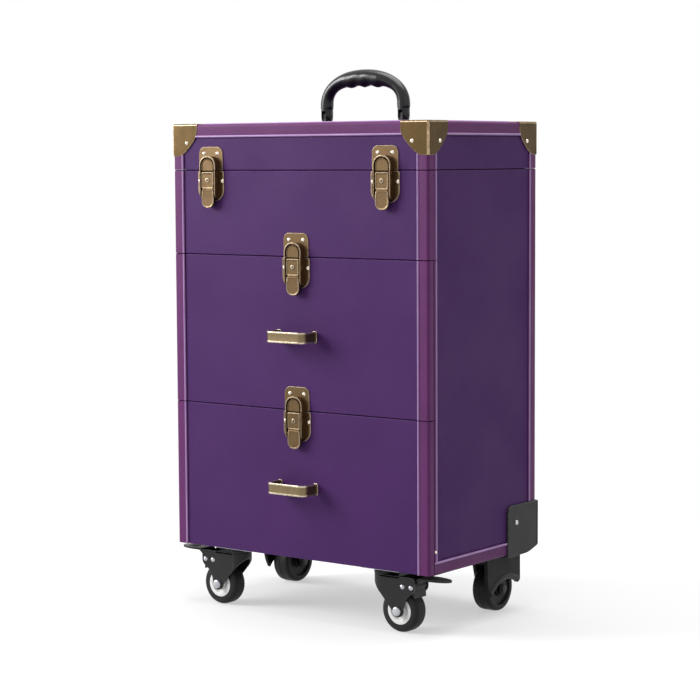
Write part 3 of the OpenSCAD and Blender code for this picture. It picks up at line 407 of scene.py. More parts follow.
strips = []
cap_trim = 39.6
for s in (-1, 1):
    for t in (-1, 1):
        strips += bound_edge((s * far_x, t * far_back, lid_low), (-s, 0, 0), (0, -t, 0),
                             (0, 0, high_z - lid_low), width, width, trim_end=cap_trim)
    strips += bound_edge((-far_x, s * far_back, high_z), (0, 0, -1), (0, -s, 0), (2 * far_x, 0, 0),
                         width, width, cap_trim, cap_trim)
    strips += bound_edge((s * far_x, far_front, high_z), (0, 0, -1), (-s, 0, 0), (0, 2 * far_back, 0),
                         width, width, cap_trim, cap_trim)
piece("lid_edge_binding", "lid", strips, ["lid_binding"])

drawer_side_w = 11.0
for name, low, high in drawers:
    strips = []
    for s in (-1, 1):
        strips += bound_edge((s * far_x, far_front, low), (-s, 0, 0), (0, 1, 0), (0, 0, high - low),
                             width, drawer_side_w, beads=(True, False))
    piece(name + "_edge_binding", name, strips, [name + "_binding"])

# Corner caps of the lid: thin steel stampings with an antique brass plating, domed over the corner and cut
# to a blunt diagonal on each face. Round-headed rivets hold each cap through its front and side faces.

FRONT = Matrix(((1, 0, 0, 0), (0, 0, -1, 0), (0, 1, 0, 0), (0, 0, 0, 1)))
RIGHT = Matrix(((0, 0, 1, 0), (1, 0, 0, 0), (0, 1, 0, 0), (0, 0, 0, 1)))

# Brushed and tumbled metal: fine streaks with a few pits
brushing, given, result = effect("Brushing", [("Scale", 400.0)], ["Height", "Crease"])
drawn = node(brushing, "VectorMath", {0: given["Vector"], 1: (1.0, 1.0, 0.12)}, operation='MULTIPLY')
streaks = noise(brushing, drawn.outputs[0], given["Scale"], 3.0)
pits = noise(brushing, given["Vector"], 620.0, 2.0)
give(brushing, result, Height=streaks, Crease=ranged(brushing, pits, 0.58, 0.75))

# Colour for the marked recesses of the brass: patina and painted shade.
brass_patina_and_shade = (50, 36, 22)
antique_brass = finish("antique brass plating", (86, 68, 40), (70, 55, 30), brushing, 500.0,
                       roughness=0.38, uneven=0.16, bump=0.12, creased=0.5, tone_scale=60.0,
                       wear_and_highlight=(196, 170, 136), mark_reach=0.55, patina_and_shade=brass_patina_and_shade, Metallic=0.9)
rivet_brass = finish("polished rivet brass", (236, 228, 212), (216, 204, 182), brushing, 700.0,
                     roughness=0.22, uneven=0.1, bump=0.05, creased=0.2, tone_scale=120.0, Metallic=0.9)


def put(bm, facing, x, y, z):
    """Turns a shape that was made lying down to face outwards, and sets it in place."""
    bmesh.ops.transform(bm, matrix=Matrix.Translation((x, y, z)) @ facing, verts=bm.verts)
    return bm


def moved(bm, x, y, z):
    """Sets a shape in place as it lies."""
    bmesh.ops.translate(bm, vec=(x, y, z), verts=bm.verts)
    return bm


def turned(profile, steps=32):
    """A profile of radius and height turned about its axis."""
    bm = shape()
    ring = [bm.verts.new((r, 0, z)) for r, z in profile]
    edges = [bm.edges.new(ends) for ends in zip(ring, ring[1:])]
    bmesh.ops.spin(bm, geom=ring + edges, cent=(0, 0, 0), axis=(0, 0, 1), angle=2 * pi, steps=steps,
                   use_merge=True)
    bmesh.ops.remove_doubles(bm, verts=bm.verts, dist=0.002)
    bmesh.ops.recalc_face_normals(bm, faces=bm.faces)
    return bm


def dome(r, h, sunk=0.4):
    """A domed head on a short shank."""
    ball = (r * r + h * h) / (2 * h)
    reach = degrees(asin(min(1.0, r / ball)))
    rise = [(ball * sin(radians(a)), h - ball + ball * cos(radians(a)))
            for a in (reach * i / 6 for i in range(6, -1, -1))]
    return turned([(0, -sunk), (r, -sunk)] + rise, 24)


cap_leg, cap_t, stud_in, stud_down = 42.0, 0.8, 24.0, 24.4
cap_outline = [(42, 9), (41, 15), (35.5, 23), (29.5, 29.5), (23, 35.5), (15, 41), (9, 42)]


def corner_cap():
    """One cap, from three flat outlines that share the corner, bent over the edges and given a rim."""
    bm = shape()
    axes = [Vector((-1, 0, 0)), Vector((0, 1, 0)), Vector((0, 0, -1))]
    tip = bm.verts.new((0, 0, 0))
    ends = [bm.verts.new(axis * cap_leg) for axis in axes]
    for i in range(3):
        a, b = axes[i], axes[(i + 1) % 3]
        middle = [bm.verts.new(a * p + b * q) for p, q in cap_outline]
        bm.faces.new([tip, ends[i]] + middle + [ends[(i + 1) % 3]])
    bmesh.ops.recalc_face_normals(bm, faces=bm.faces)
    ease_edges(bm, [e for e in bm.edges if tip in e.verts], 2.4, 4)
    # The rounded bends are marked paler, fully where they face sideways and far less where they face up:
    # wear, and a painted highlight on the upright ridges. The lip round the rim is marked half as much.
    wear_and_highlight = bm.faces.layers.float["wear_and_highlight_mask"]
    for face in bm.faces:
        face[wear_and_highlight] *= 1.0 if face.normal.z < 0.2 else 0.15
    rim = [e for e in bm.edges if e.is_boundary]
    lip = bmesh.ops.extrude_edge_only(bm, edges=rim)["geom"]
    bmesh.ops.translate(bm, vec=(-0.5, 0.5, -0.5), verts=only(BMVert, lip))
    for face in {f for e in only(BMEdge, lip) for f in e.link_faces}:
        face[wear_and_highlight] = 0.5
    return bm


caps, rivets = [], []
for at_back in (False, True):
    cap = moved(corner_cap(), far_x + cap_t, far_front - cap_t, high_z + cap_t)
    studs = [put(dome(2.7, 1.6), FRONT, far_x - stud_in, far_front - cap_t, high_z - stud_down),
             put(dome(2.7, 1.6), RIGHT, far_x + cap_t, far_front + stud_in, high_z - stud_down)]
    if at_back:
        cap, *studs = [mirrored(bm, (1, -1, 1)) for bm in [cap] + studs]
    caps += finished(pair(cap), antique_brass)
    rivets += finished(pairs(studs), rivet_brass)
piece("lid_corner_caps", "lid", caps, ["lid_corners"])

# Latches: stamped and plated steel. A catch with a raised round-topped cap sits above the parting line,
# with a base below it. A lever turns on a pin between the base's two upright rims and ends in a tongue.


def plate(points, rounds, depth, ease=0.4, steps=3):
    """A flat outline with rounded corners, raised to a depth, with its upper rim eased."""
    bm = shape()
    corners = [bm.verts.new((x, y, 0)) for x, y in points]
    bm.faces.new(corners)
    for corner, r in zip(corners, rounds):
        if r:
            bmesh.ops.bevel(bm, geom=[corner], offset=r, offset_type='OFFSET', segments=8, profile=0.5,
                            affect='VERTICES', material=-1, clamp_overlap=True)
    lifted = bmesh.ops.extrude_face_region(bm, geom=bm.faces[:])["geom"]
    bmesh.ops.translate(bm, vec=(0, 0, depth), verts=only(BMVert, lifted))
    bmesh.ops.recalc_face_normals(bm, faces=bm.faces)
    ease_edges(bm, [e for e in bm.edges if all(v.co.z > depth - 0.001 for v in e.verts)], ease, steps)
    return bm


def oblong(low_x, low_y, high_x, high_y):
    """The corners of a rectangle."""
    return [(low_x, low_y), (high_x, low_y), (high_x, high_y), (low_x, high_y)]


def pad(half_x, half_y, r, depth, ease, steps=3):
    """A rectangular plate about its middle, with four like corners."""
    return plate(oblong(-half_x, -half_y, half_x, half_y), [r] * 4, depth, ease, steps)


def top_face(bm):
    """The broad upper face of a plate."""
    level = [f for f in bm.faces if f.normal.z > 0.99]
    return max(level, key=lambda f: f.calc_area())


def sink(bm, steps):
    """Steps the upper face of a plate in and down, or up, marking deep walls darker as patina and painted
    shade and flat top rings paler as painted highlight.
    """
    face = top_face(bm)
    recess = bm.faces.layers.float["recess"]
    wear_and_highlight = bm.faces.layers.float["wear_and_highlight_mask"]
    low = 0.0
    for inset, depth in steps:
        made = bmesh.ops.inset_region(bm, faces=[face], thickness=inset, depth=depth, use_even_offset=True)
        low += depth
        for side in made["faces"]:
            # Walls below the deeper steps are marked darker: patina and painted shade in the low places.
            side[recess] = 1.0 if low < -0.7 else 0.0
            # Flat rings at the top level are marked a little paler: a painted highlight on the raised
            # borders.
            side[wear_and_highlight] = 0.45 if depth == 0 and low > -0.1 else 0.0
    return bm


def rod(r, half, ease=0.4):
    """A turned pin or barrel, lying along the width of the case."""
    profile = [(0, -half), (r - ease, -half), (r, ease - half), (r, half - ease), (r - ease, half), (0, half)]
    return put(turned(profile), RIGHT, 0, 0, 0)


def cut_off(bm, spot, normal):
    """Cuts away what lies behind a plane and closes the cut."""
    cut = bmesh.ops.bisect_plane(bm, geom=bm.verts[:] + bm.edges[:] + bm.faces[:], plane_co=spot,
                                 plane_no=normal, clear_inner=True)
    bmesh.ops.holes_fill(bm, edges=only(BMEdge, cut["geom_cut"]))
    return bm


latch_brass = finish("worn latch brass", (113, 92, 65), (95, 75, 51), brushing, 500.0, roughness=0.36,
                     uneven=0.16, bump=0.12, creased=0.5, tone_scale=80.0, wear_and_highlight=(166, 150, 128),
                     mark_reach=0.55, patina_and_shade=brass_patina_and_shade, Metallic=0.9)
keyhole_black = finish("keyhole shadow", (24, 20, 18), (14, 12, 10), brushing, 500.0, roughness=0.8)
rim_half, rim_t, rim_out, cap_top, base_low, tongue_low = 13.5, 2.1, 9.0, 18.7, -36.5, -49.0
pin_down, pin_out, key_down, plate_t, lever_t = -4.0, 5.6, -13.0, 1.2, 3.6
catch_rivet, base_rivet = (11.3, 21.7), (18.98, -14.0)


def latch_catch():
    """Catch plate with its raised cap: rim, groove and inner face, cut off at the parting line."""
    back = plate(oblong(-20, half_gap, 20, 30.5), [0, 0, 9, 9], plate_t, 0.5)
    cap = plate(oblong(-rim_half, -20, rim_half, cap_top), [0, 0, 12.6, 12.6], rim_out, 0.7)
    sink(cap, [(1.0, 0), (0.5, -2.6), (1.3, 0), (0.4, 2.2), (0.9, 0), (0.5, -0.5)])
    return finished([back, cut_off(cap, (0, -0.3, 0), (0, 1, 0))], latch_brass)


def latch_base():
    """Base plate with a rounded lobe on each side, its two upright rims and the lever's pin."""
    corners = [(-22, -half_gap), (-22, -40), (22, -40), (22, -half_gap)]
    made = [sink(plate(corners, [3.5, 15, 15, 3.5], plate_t, 0.5), [(1.3, 0), (0.5, -0.75)])]
    for x in (rim_t - rim_half, rim_half):
        corners = [(0, -half_gap), (0, base_low), (rim_out, base_low), (rim_out, -half_gap)]
        rim = plate(corners, [0, 0, 6, 0], rim_t, 0.6)
        made.append(put(rim, Matrix.Rotation(-pi / 2, 4, 'Y'), x, 0, 0))
    return finished(made + [moved(rod(1.5, rim_half + 0.5), 0, pin_down, pin_out)], latch_brass)


def latch_lever():
    """Lever: barrel on the pin, face plate with a keyhole boss, and a flared round tongue."""
    barrel = moved(rod(2.9, 9.8), 0, pin_down, pin_out)
    face = sink(plate(oblong(-9.8, -24, 9.8, -2.4), [2.6] * 4, lever_t, 0.5), [(0.9, 0), (0.4, -0.45)])
    flare = [(-9.2, -25), (-10.2, -35), (-10.2, tongue_low), (10.2, tongue_low), (10.2, -35), (9.2, -25)]
    tongue = sink(plate(flare, [0, 0, 8.7, 8.7, 0, 0], lever_t, 0.7), [(1.1, 0), (0.5, -0.5)])
    lip = moved(rod(0.9, 8.9), 0, -25.9, 8.2)
    for bm in (face, tongue):
        moved(bm, 0, 0, 5)
    bridge = board((-9, -26, 5), (9, -23, 7.6), 0.3)
    boss = turned([(0, 7.9), (3.3, 7.9), (3.3, 8.6), (2.8, 9.1), (2.0, 9.1), (1.7, 8.7), (0, 8.7)])
    moved(boss, 0, key_down, 0)
    # The whole boss is marked paler, a painted highlight on its dome.
    wear_and_highlight = boss.faces.layers.float["wear_and_highlight_mask"]
    for part in boss.faces:
        part[wear_and_highlight] = 1.0
    keyhole = [(-0.5, -1.4), (0.5, -1.4), (0.5, 0), (0.9, 0.4), (0.9, 1), (-0.9, 1), (-0.9, 0.4), (-0.5, 0)]
    slot = moved(plate(keyhole, [0, 0, 0, 0.3, 0.4, 0.4, 0.3, 0], 0.3, 0.05), 0, key_down, 8.6)
    return finished([barrel, face, tongue, lip, bridge, boss], latch_brass) + [(slot, keyhole_black)]


def at_latch(parts, x, z):
    """Sets a latch part on the front face at its parting line."""
    return [(put(bm, FRONT, x, front_y, z), used) for bm, used in parts]


def latch_rivets(x, z, spot):
    """The pair of rivets of a latch plate."""
    heads = [put(dome(2.8, 1.7), FRONT, x + s * spot[0], front_y - 1.1, z + spot[1]) for s in (-1, 1)]
    return finished(heads, rivet_brass)


latch_x = 141.0
piece("lid_latch_catches", "lid",
      at_latch(latch_catch(), -latch_x, lid_z) + at_latch(latch_catch(), latch_x, lid_z), ["lid_catches"])
piece("lid_latch_base_plates", "case",
      at_latch(latch_base(), -latch_x, lid_z) + at_latch(latch_base(), latch_x, lid_z), ["lid_latch_bases"])
for name, above, z in (("upper", "case", line_1), ("lower", "upper_drawer", line_2)):
    piece(name + "_latch_catch", above, at_latch(latch_catch(), 0, z),
          [name + "_drawer_catch"])
    piece(name + "_latch_base", name + "_drawer", at_latch(latch_base(), 0, z),
          [name + "_drawer_latch_base"])
for name, body, x, z in (("left_lid_latch_lever", "left_lid_lever", -latch_x, lid_z),
                         ("right_lid_latch_lever", "right_lid_lever", latch_x, lid_z),
                         ("upper_drawer_latch_lever", "upper_lever", 0, line_1),
                         ("lower_drawer_latch_lever", "lower_lever", 0, line_2)):
    piece(name + "_stamped", body, at_latch(latch_lever(), x, z), [name])

# Rivets, nails and stay pins: bright brass heads, driven through the plates and left unlacquered, and plated
# steel pins for the stays. Each set moves with the board that it is driven into.

zinc = finish("bright zinc plating", (196, 198, 202), (172, 174, 180), brushing, 600.0, roughness=0.28,
              uneven=0.14, bump=0.08, creased=0.3, tone_scale=90.0, wear_and_highlight=(226, 226, 228), Metallic=0.9)
stay_y, stay_lid_z, stay_case_z = 70.434, 600.443, 559.557


def stay_pins(z):
    """Shouldered pins on the insides of the side boards, with retaining heads."""
    pin = turned([(0, 0), (5, 0), (5, 3.7), (3, 3.7), (3, 6.8), (5, 6.8), (5, 7.7), (4.4, 8.3), (0, 8.3)])
    return finished(pair(put(pin, Matrix.Rotation(-pi / 2, 4, 'Y'), in_x, stay_y, z)), zinc)


for x in (-latch_x, latch_x):
    rivets += latch_rivets(x, lid_z, catch_rivet)
piece("lid_rivet_heads", "lid", rivets + stay_pins(stay_lid_z), ["lid_rivets"])
nails = finished(pair(put(dome(2.3, 1.4), RIGHT, far_x, -108.2, 109)), rivet_brass)
piece("case_rivet_heads", "case",
      latch_rivets(-latch_x, lid_z, base_rivet) + latch_rivets(latch_x, lid_z, base_rivet) +
      latch_rivets(0, line_1, catch_rivet) + nails + stay_pins(stay_case_z), ["case_rivets"])
piece("upper_drawer_rivet_heads", "upper_drawer",
      latch_rivets(0, line_1, base_rivet) + latch_rivets(0, line_2, catch_rivet), ["upper_drawer_rivets"])
piece("lower_drawer_rivet_heads", "lower_drawer", latch_rivets(0, line_2, base_rivet),
      ["lower_drawer_rivets"])

# Drawer pulls: a rolled brass-plated strap with raised edges, bent to a square bow with rounded corners.
# It is screwed to each drawer front from behind through its ends.

pull_brass = finish("pale brass plating", (138, 121, 92), (120, 103, 76), brushing, 450.0, roughness=0.34,
                    uneven=0.14, bump=0.12, creased=0.35, tone_scale=70.0, wear_and_highlight=(218, 204, 182),
                    mark_reach=0.55, patina_and_shade=brass_patina_and_shade, Metallic=0.9)
strap = [(-1.25, -6.6), (-0.85, -7), (1.2, -7), (1.6, -6.5), (1.6, -5), (1.1, -4.4),
         (1.1, 4.4), (1.6, 5), (1.6, 6.5), (1.2, 7), (-0.85, 7), (-1.25, 6.6)]
bow_x, bow_y, bow_r, foot_x, bends = 29.75, -148.75, 7.75, 29.0, 6
line = ([(bow_x, front_y + 1)] + arc(bow_x - bow_r, bow_y + bow_r, bow_r, 0, -90, bends) +
        arc(bow_r - bow_x, bow_y + bow_r, bow_r, -90, -180, bends) + [(-bow_x, front_y + 1)])
facing = [0] + [a - 90 * i / bends for a in (0, -90) for i in range(bends + 1)] + [-180]
for name, z in (("upper_drawer", 368.5), ("lower_drawer", 173.5)):
    stops = []
    for (x, y), a in zip(line, facing):
        outward = (cos(radians(a)), sin(radians(a)), 0)
        stops.append(place((x, y, z), outward, (0, 0, 1), (outward[1], -outward[0], 0)))
    pull = swept(strap, stops)
    # The raised rims of the strap are marked paler, a painted highlight along their rounds.
    wear_and_highlight = pull.faces.layers.float["wear_and_highlight_mask"]
    for face in pull.faces:
        face[wear_and_highlight] = 0.9 if abs(face.calc_center_median().z - z) > 5 else 0.0
    feet = [put(pad(3.4, 7.6, 1.5, 1.0, 0.4), FRONT, x, front_y, z) for x in (-foot_x, foot_x)]
    piece(name + "_bow_pull", name, finished([pull] + feet, pull_brass), [name + "_pull"])

# Carry handle: one glossy black moulding, a flattened arch with swellings under the grip for the fingers.
# Each leg ends in a slotted eye that folds on the pin of a moulded bracket, screwed to the lid.

# Moulded surfaces: a fine even stipple
stipple, given, result = effect("Stipple", [("Scale", 1500.0)], ["Height", "Crease"])
specks = noise(stipple, given["Vector"], given["Scale"], 2.0)
scuffs = noise(stipple, given["Vector"], 90.0, 5.0, 0.7)
give(stipple, result, Height=specks, Crease=ranged(stipple, scuffs, 0.6, 0.8))

gloss_black = finish("gloss black moulding", (20, 19, 21), (15, 14, 16), stipple, 1200.0, roughness=0.24,
                     uneven=0.1, bump=0.04, creased=0.2, tone_scale=40.0, wear_and_highlight=(44, 43, 46),
                     Specular_IOR_Level=0.4)
matte_black = finish("matte black moulding", (34, 34, 34), (27, 27, 27), stipple, 1500.0, roughness=0.55,
                     uneven=0.16, bump=0.2, creased=0.2, tone_scale=30.0, wear_and_highlight=(66, 66, 66),
                     Specular_IOR_Level=0.35)

leg_x, handle_y, pivot_z, shoulder_z = 63.0, 26.0, 651.0, 664.0
leg_deep, eye_half, slot_half, eye_drop = 8.7, 7.7, 3.2, 8.6
grip_swell, finger_deep, finger_pitch, fingers_x = 2.4, 2.4, 21.0, 31.5


def handle_line(half, top, fullness, a):
    """A point on an outline of the handle, from the right leg over the grip to the left leg."""
    x = half * abs(cos(a)) ** (2 / fullness) * (1 if cos(a) > 0 else -1)
    return Vector((x, handle_y, shoulder_z + (top - shoulder_z) * abs(sin(a)) ** (2 / fullness)))


line = []
for i in range(65):
    over = handle_line(71.6, 711.5, 2.15, pi * i / 64)
    under = handle_line(54.2, 690.0, 3.0, pi * i / 64)
    if abs(under.x) < fingers_x:
        under.z -= finger_deep * cos(pi * under.x / finger_pitch) ** 2
    across = (over - under) / 2
    deep = leg_deep + grip_swell * max(0.0, min(1.0, (56 - abs(over.x)) / 30))
    line.append(place((over + under) / 2, across, (0, deep, 0), across.cross((0, 1, 0)).normalized()))
necks = [(657.6, 7.7), (659.6, 7.8), (661, 8.3), (662.6, 8.65)]
line = ([place((leg_x, handle_y, z), (w, 0, 0), (0, leg_deep, 0), (0, 0, 1)) for z, w in necks] + line +
        [place((-leg_x, handle_y, z), (-w, 0, 0), (0, leg_deep, 0), (0, 0, -1)) for z, w in reversed(necks)])
shapes = [swept(circle(1.0, 24), line)]
slot_a = degrees(acos(slot_half / eye_half))
for x in (-leg_x, leg_x):
    for s in (-1, 1):
        cheek = [(s * eye_half * a, b) for a, b in arc(0, 0, 1.0, -slot_a, slot_a, 14)]
        stops = []
        for z in (643, 644, 646, 648.5, 651, 658.4):
            deep = leg_deep * (1 - (max(0.0, pivot_z - z) / eye_drop) ** 2) ** 0.5
            stops.append(place((x, handle_y, z), (1, 0, 0), (0, deep, 0), (0, 0, 1)))
        shapes.append(swept(cheek, stops))
piece("carry_handle_moulding", "handle", finished(shapes, gloss_black), ["carry_handle"])

parts = []
for x in (-leg_x, leg_x):
    bed = moved(pad(14, 14, 5, 2.5, 0.9), x, handle_y, top_z)
    lug = put(plate(oblong(-6, -11, 6, 6), [0, 0, 5.8, 5.8], 5.6, 0.4), RIGHT, x - 2.8, handle_y, pivot_z)
    pin = moved(rod(2.5, eye_half, 0.6), x, handle_y, pivot_z)
    parts += finished([bed, lug, pin], matte_black)
    screws = [moved(dome(2.2, 0.9), x + e, handle_y + t, top_z + 2.4) for e, t in oblong(-10, -10, 10, 10)]
    parts += finished(screws, zinc)
piece("handle_bracket_mouldings", "lid", parts, ["handle_brackets"])

# Front casters: pressed steel forks in black paint, turning on a kingpin below a plated mounting plate.
# The wheels are black rubber on a white plastic hub; a steel pedal on a pin brakes the tyre with its shoe.

paint_black = finish("satin black paint", (34, 34, 35), (26, 26, 27), stipple, 900.0, roughness=0.34,
                     uneven=0.14, bump=0.08, creased=0.15, tone_scale=40.0, wear_and_highlight=(112, 112, 114),
                     Specular_IOR_Level=0.25)
rubber = finish("black tyre rubber", (34, 34, 35), (27, 27, 28), stipple, 1300.0, roughness=0.5,
                uneven=0.14, bump=0.18, creased=0.3, tone_scale=60.0, wear_and_highlight=(58, 57, 56),
                Specular_IOR_Level=0.22)
hub_white = finish("white hub plastic", (246, 246, 245), (238, 238, 236), stipple, 1200.0, roughness=0.4,
                   uneven=0.1, bump=0.05, creased=0.08, tone_scale=60.0, wear_and_highlight=(240, 240, 238))

TO_REAR = Matrix(((1, 0, 0, 0), (0, 0, 1, 0), (0, 1, 0, 0), (0, 0, 0, 1)))
UNDER = Matrix(((1, 0, 0, 0), (0, -1, 0, 0), (0, 0, -1, 0), (0, 0, 0, 1)))
king_x, king_y, wheel_u, wheel_z, wheel_r = 121.0, -95.0, 27.0, 28.0, 28.0
leg_in, leg_out, fork_top, fork_back, nose_low, nose_high = 13.0, 15.5, 72.2, 54.0, 49.0, 66.2
stop_u, pedal_u, pedal_z, pedal_half, tread_z = 35.0, 48.0, 60.0, 12.4, 70.0


def both_faces(side):
    """The closed section of a wheel, from one half's outline and its mirror image."""
    return side + [(r, -z) for r, z in reversed(side)] + [side[0]]


def fork_nose():
    """The round nose of the bent sheet, cut to slope down towards the axle."""
    bm = shape()
    face = bm.faces.new([bm.verts.new((0, r, z)) for r, z in oblong(leg_in, 40, leg_out, fork_top)])
    bmesh.ops.spin(bm, geom=[face], cent=(0, 0, 0), axis=(0, 0, 1), angle=pi, steps=24, use_duplicate=False)
    bmesh.ops.recalc_face_normals(bm, faces=bm.faces)
    return cut_off(bm, (0, 0, nose_low), (nose_high - nose_low, 0, leg_out))


def caster_fork():
    """A fork about its kingpin: race, head, bent sheet with round feet, pins and the axle bolt."""
    race = turned([(4.2, 72.2), (15, 72.2), (16, 73.2), (16, 75.2), (15.2, 75.6), (15.2, 76.6), (14.4, 77.2),
                   (4.2, 77.2), (4.2, 72.2)], 40)
    edge = [(0, -leg_out), (30, -leg_out), (30, leg_out), (0, leg_out)] + arc(0, 0, leg_out, 100, 260, 12)
    head = moved(plate(edge, [0] * 17, 2.4, 0.4), 0, 0, 69.9)
    made = finished([fork_nose(), head, race], paint_black)
    outline = ([(0, fork_top), (0, nose_low)] + arc(wheel_u, wheel_z, 8, 182, 358, 14) +
               [(36, 35), (39.5, 42.5), (45, 49), (fork_back, 54), (fork_back, fork_top)])
    for s, facing in ((-1, FRONT), (1, TO_REAR)):
        leg = plate(outline, [0] * 18 + [0, 4, 5, 4, 2], leg_out - leg_in, 0.5)
        made.append((put(leg, facing, 0, s * leg_in, 0), paint_black))
        for u in (stop_u, pedal_u):
            made.append((put(dome(3.5, 2.2), facing, u, s * (leg_out - 0.1), pedal_z), zinc))
    bolt = turned([(0, -0.2), (6, -0.2), (6, 2.2), (5.4, 3.3), (3.8, 4), (0, 4.1)])
    nut = plate(circle(6.5, 6), [0.2] * 6, 4, 0.6)
    axle = turned([(0, -15.4), (4, -15.4), (4, 15.4), (0, 15.4)])
    put(bolt, FRONT, wheel_u, -leg_out, wheel_z)
    put(nut, TO_REAR, wheel_u, leg_out, wheel_z)
    put(axle, FRONT, wheel_u, 0, wheel_z)
    return made + finished([bolt, nut, axle], zinc)


def caster_tyre():
    """Tyre with rounded shoulders, a moulded line on each side and a flat tread."""
    half, r, bore = 11.4, wheel_r, 17.95
    side = [(bore, -half), (21.8, -half), (22.2, 0.35 - half), (22.8, 0.35 - half), (23.2, 0.15 - half),
            (25.2, 1.0 - half), (26.8, 2.6 - half), (27.7, 4.6 - half), (r, 6.4 - half)]
    return put(turned(both_faces(side), 64), FRONT, wheel_u, 0, wheel_z)


def caster_hub():
    """Hub: a flanged rim ring, a thin web and the boss round the axle."""
    side = [(4.2, -12), (8, -12), (8.4, -11.5), (8.4, -6), (12.4, -6), (12.8, -10.4), (13.4, -11),
            (17.6, -11), (18, -10.6)]
    return put(turned(both_faces(side), 64), FRONT, wheel_u, 0, wheel_z)


def brake_pedal():
    """Pedal: barrel on its pin, the shoe over the tyre, and a pressed foot plate that narrows to its tip."""
    side = [(2.1, -pedal_half), (4.6, -pedal_half), (5, 0.4 - pedal_half)]
    barrel = put(turned(both_faces(side)), FRONT, pedal_u, 0, pedal_z)
    sides = []
    for outline, rounds in (([(45, 59), (48.5, 49.5), (52.3, 45.6), (51.2, 60)], [0, 0.8, 0.8, 0]),
                            ([(46, 57.4), (62, 70), (58, 72.5), (45.4, 63)], [1, 0.5, 0.5, 1])):
        sides.append(put(plate(outline, rounds, 2 * pedal_half - 0.2, 0.5), FRONT, 0, pedal_half - 0.1, 0))
    edge = [(57.5, -pedal_half), (80, -pedal_half), (95, -7), (100, 0), (95, 7), (80, pedal_half),
            (57.5, pedal_half)]
    tread = moved(plate(edge, [1, 8, 4, 5, 4, 8, 1], 2.5, 0.9), 0, 0, tread_z)
    ribs = [board((u - 0.9, -6.5, tread_z + 2.2), (u + 0.9, 6.5, tread_z + 3.2), 0.4) for u in (75, 80, 85)]
    return finished([barrel] + sides + [tread] + ribs, paint_black)


def on_side(parts, side, x=king_x, y=king_y):
    """Sets right-hand parts in place, or their twins on the left."""
    set_down = [(moved(bm, x, y, 0), used) for bm, used in parts]
    return [(bm if side == "right" else mirrored(bm), used) for bm, used in set_down]


for side in ("left", "right"):
    piece(side + "_fork_pressing", side + "_fork", on_side(caster_fork(), side),
          [side + "_caster_fork"])
    piece(side + "_tyre_moulding", side + "_caster_wheel",
          on_side([(caster_tyre(), rubber)], side), [side + "_caster_tyre"])
    piece(side + "_hub_moulding", side + "_caster_wheel",
          on_side([(caster_hub(), hub_white)], side), [side + "_caster_hub"])
    piece(side + "_pedal_pressing", side + "_pedal", on_side(brake_pedal(), side),
          [side + "_brake_pedal"])

parts = []
for side in ("left", "right"):
    bed = put(plate(oblong(-31, -16, 31, 24), [3] * 4, 2.5, 0.5), UNDER, 0, 8, bottom_z)
    kingpin = turned([(0, 64), (5.8, 64), (6.5, 64.8), (6.5, 66.8), (4, 66.8), (4, 79), (0, 79)])
    screws = [put(dome(3, 1.5), UNDER, x, y, 77.6) for x in (-25, 25) for y in (-10, 18)]
    parts += on_side(finished([bed, kingpin] + screws, zinc), side)
piece("caster_mounting_plates", "case", parts, ["caster_plates"])

# Rear wheels: solid rubber, each between the arched skirt and the inner leg of a black moulded housing. The
# housing wraps the lower back corner of the shell, and a screw holds it through the side. Its skirt, arm,
# inner leg and bed are coloured a darker black as painted shade under the case.

# A darker copy of the matte black moulding: painted shade on the housing's legs under the case.
painted_shade_black = finish("black moulding with painted shade", (11, 11, 11), (8, 8, 8), stipple, 1500.0, roughness=0.5,
                      uneven=0.14, bump=0.2, creased=0.2, tone_scale=30.0, wear_and_highlight=(40, 40, 40),
                      Specular_IOR_Level=0.18)
BACK = Matrix(((-1, 0, 0, 0), (0, 0, 1, 0), (0, 1, 0, 0), (0, 0, 0, 1)))
rear_x, rear_y, rear_r, rear_half = 168.0, 77.0, 30.0, 13.0
skirt_x, inner_x, leg_t, bed_top, leg_top = rear_x + 15, rear_x - 20, 5.0, 79.6, 77.0
skirt_front, skirt_back, arch_y, arch_z, arch_r, flare = 35.0, 114.0, 82.0, -5.0, 47.0, 4.0
strut, strut_top, boss_r, inner_front, inner_back = 6.0, 51.0, 9.0, 55.0, 99.0
wrap_x, wrap_front, wrap_back, wrap_low, wrap_high, wrap_t = 144.0, 53.0, 125.5, 76.0, 144.0, 3.5

arch = arc(arch_y, arch_z, arch_r, 143.5, 56.0, 24)
skirt = plate([(skirt_front, leg_top), (skirt_front, 38)] + arch + [(skirt_back, 36), (skirt_back, leg_top)],
              [2, 12] + [0] * len(arch) + [3, 2], leg_t, 0.9)
boss_a = degrees(acos(strut / boss_r))
boss = arc(rear_y, rear_r, boss_r, 180 - boss_a, 360 + boss_a, 16)
arm = plate(boss + [(rear_y + strut, strut_top), (rear_y - strut, strut_top)], [0] * 19, leg_t / 2, 0.5)
boss = arc(rear_y, rear_r, boss_r, 195, 345, 10)
inner_leg = plate([(inner_front, leg_top), (rear_y - boss_r, rear_r)] + boss +
                  [(rear_y + boss_r, rear_r), (inner_back, leg_top)], [2, 0] + [0] * 11 + [0, 2], leg_t, 0.7)
stops = []
for y, z in arc(arch_y, arch_z, arch_r + flare, 139, 59, 24):
    away = Vector((0, y - arch_y, z - arch_z)).normalized()
    stops.append(place((skirt_x + 4.4, y, z), away * flare, (2.0, 0, 0), away.cross((1, 0, 0))))
side_wrap = plate([(wrap_front, wrap_low), (wrap_front, wrap_high), (wrap_back, wrap_high), (wrap_back, 84),
                   (102, 77)], [2, 10, 2, 3, 6], wrap_t, 1.4)
wrap_far = half_w + wrap_t
back_wrap = plate([(-wrap_far, 84), (-wrap_x, wrap_low), (-wrap_x, wrap_high), (-wrap_far, wrap_high)],
                  [2, 3, 8, 2], wrap_t, 1.2)
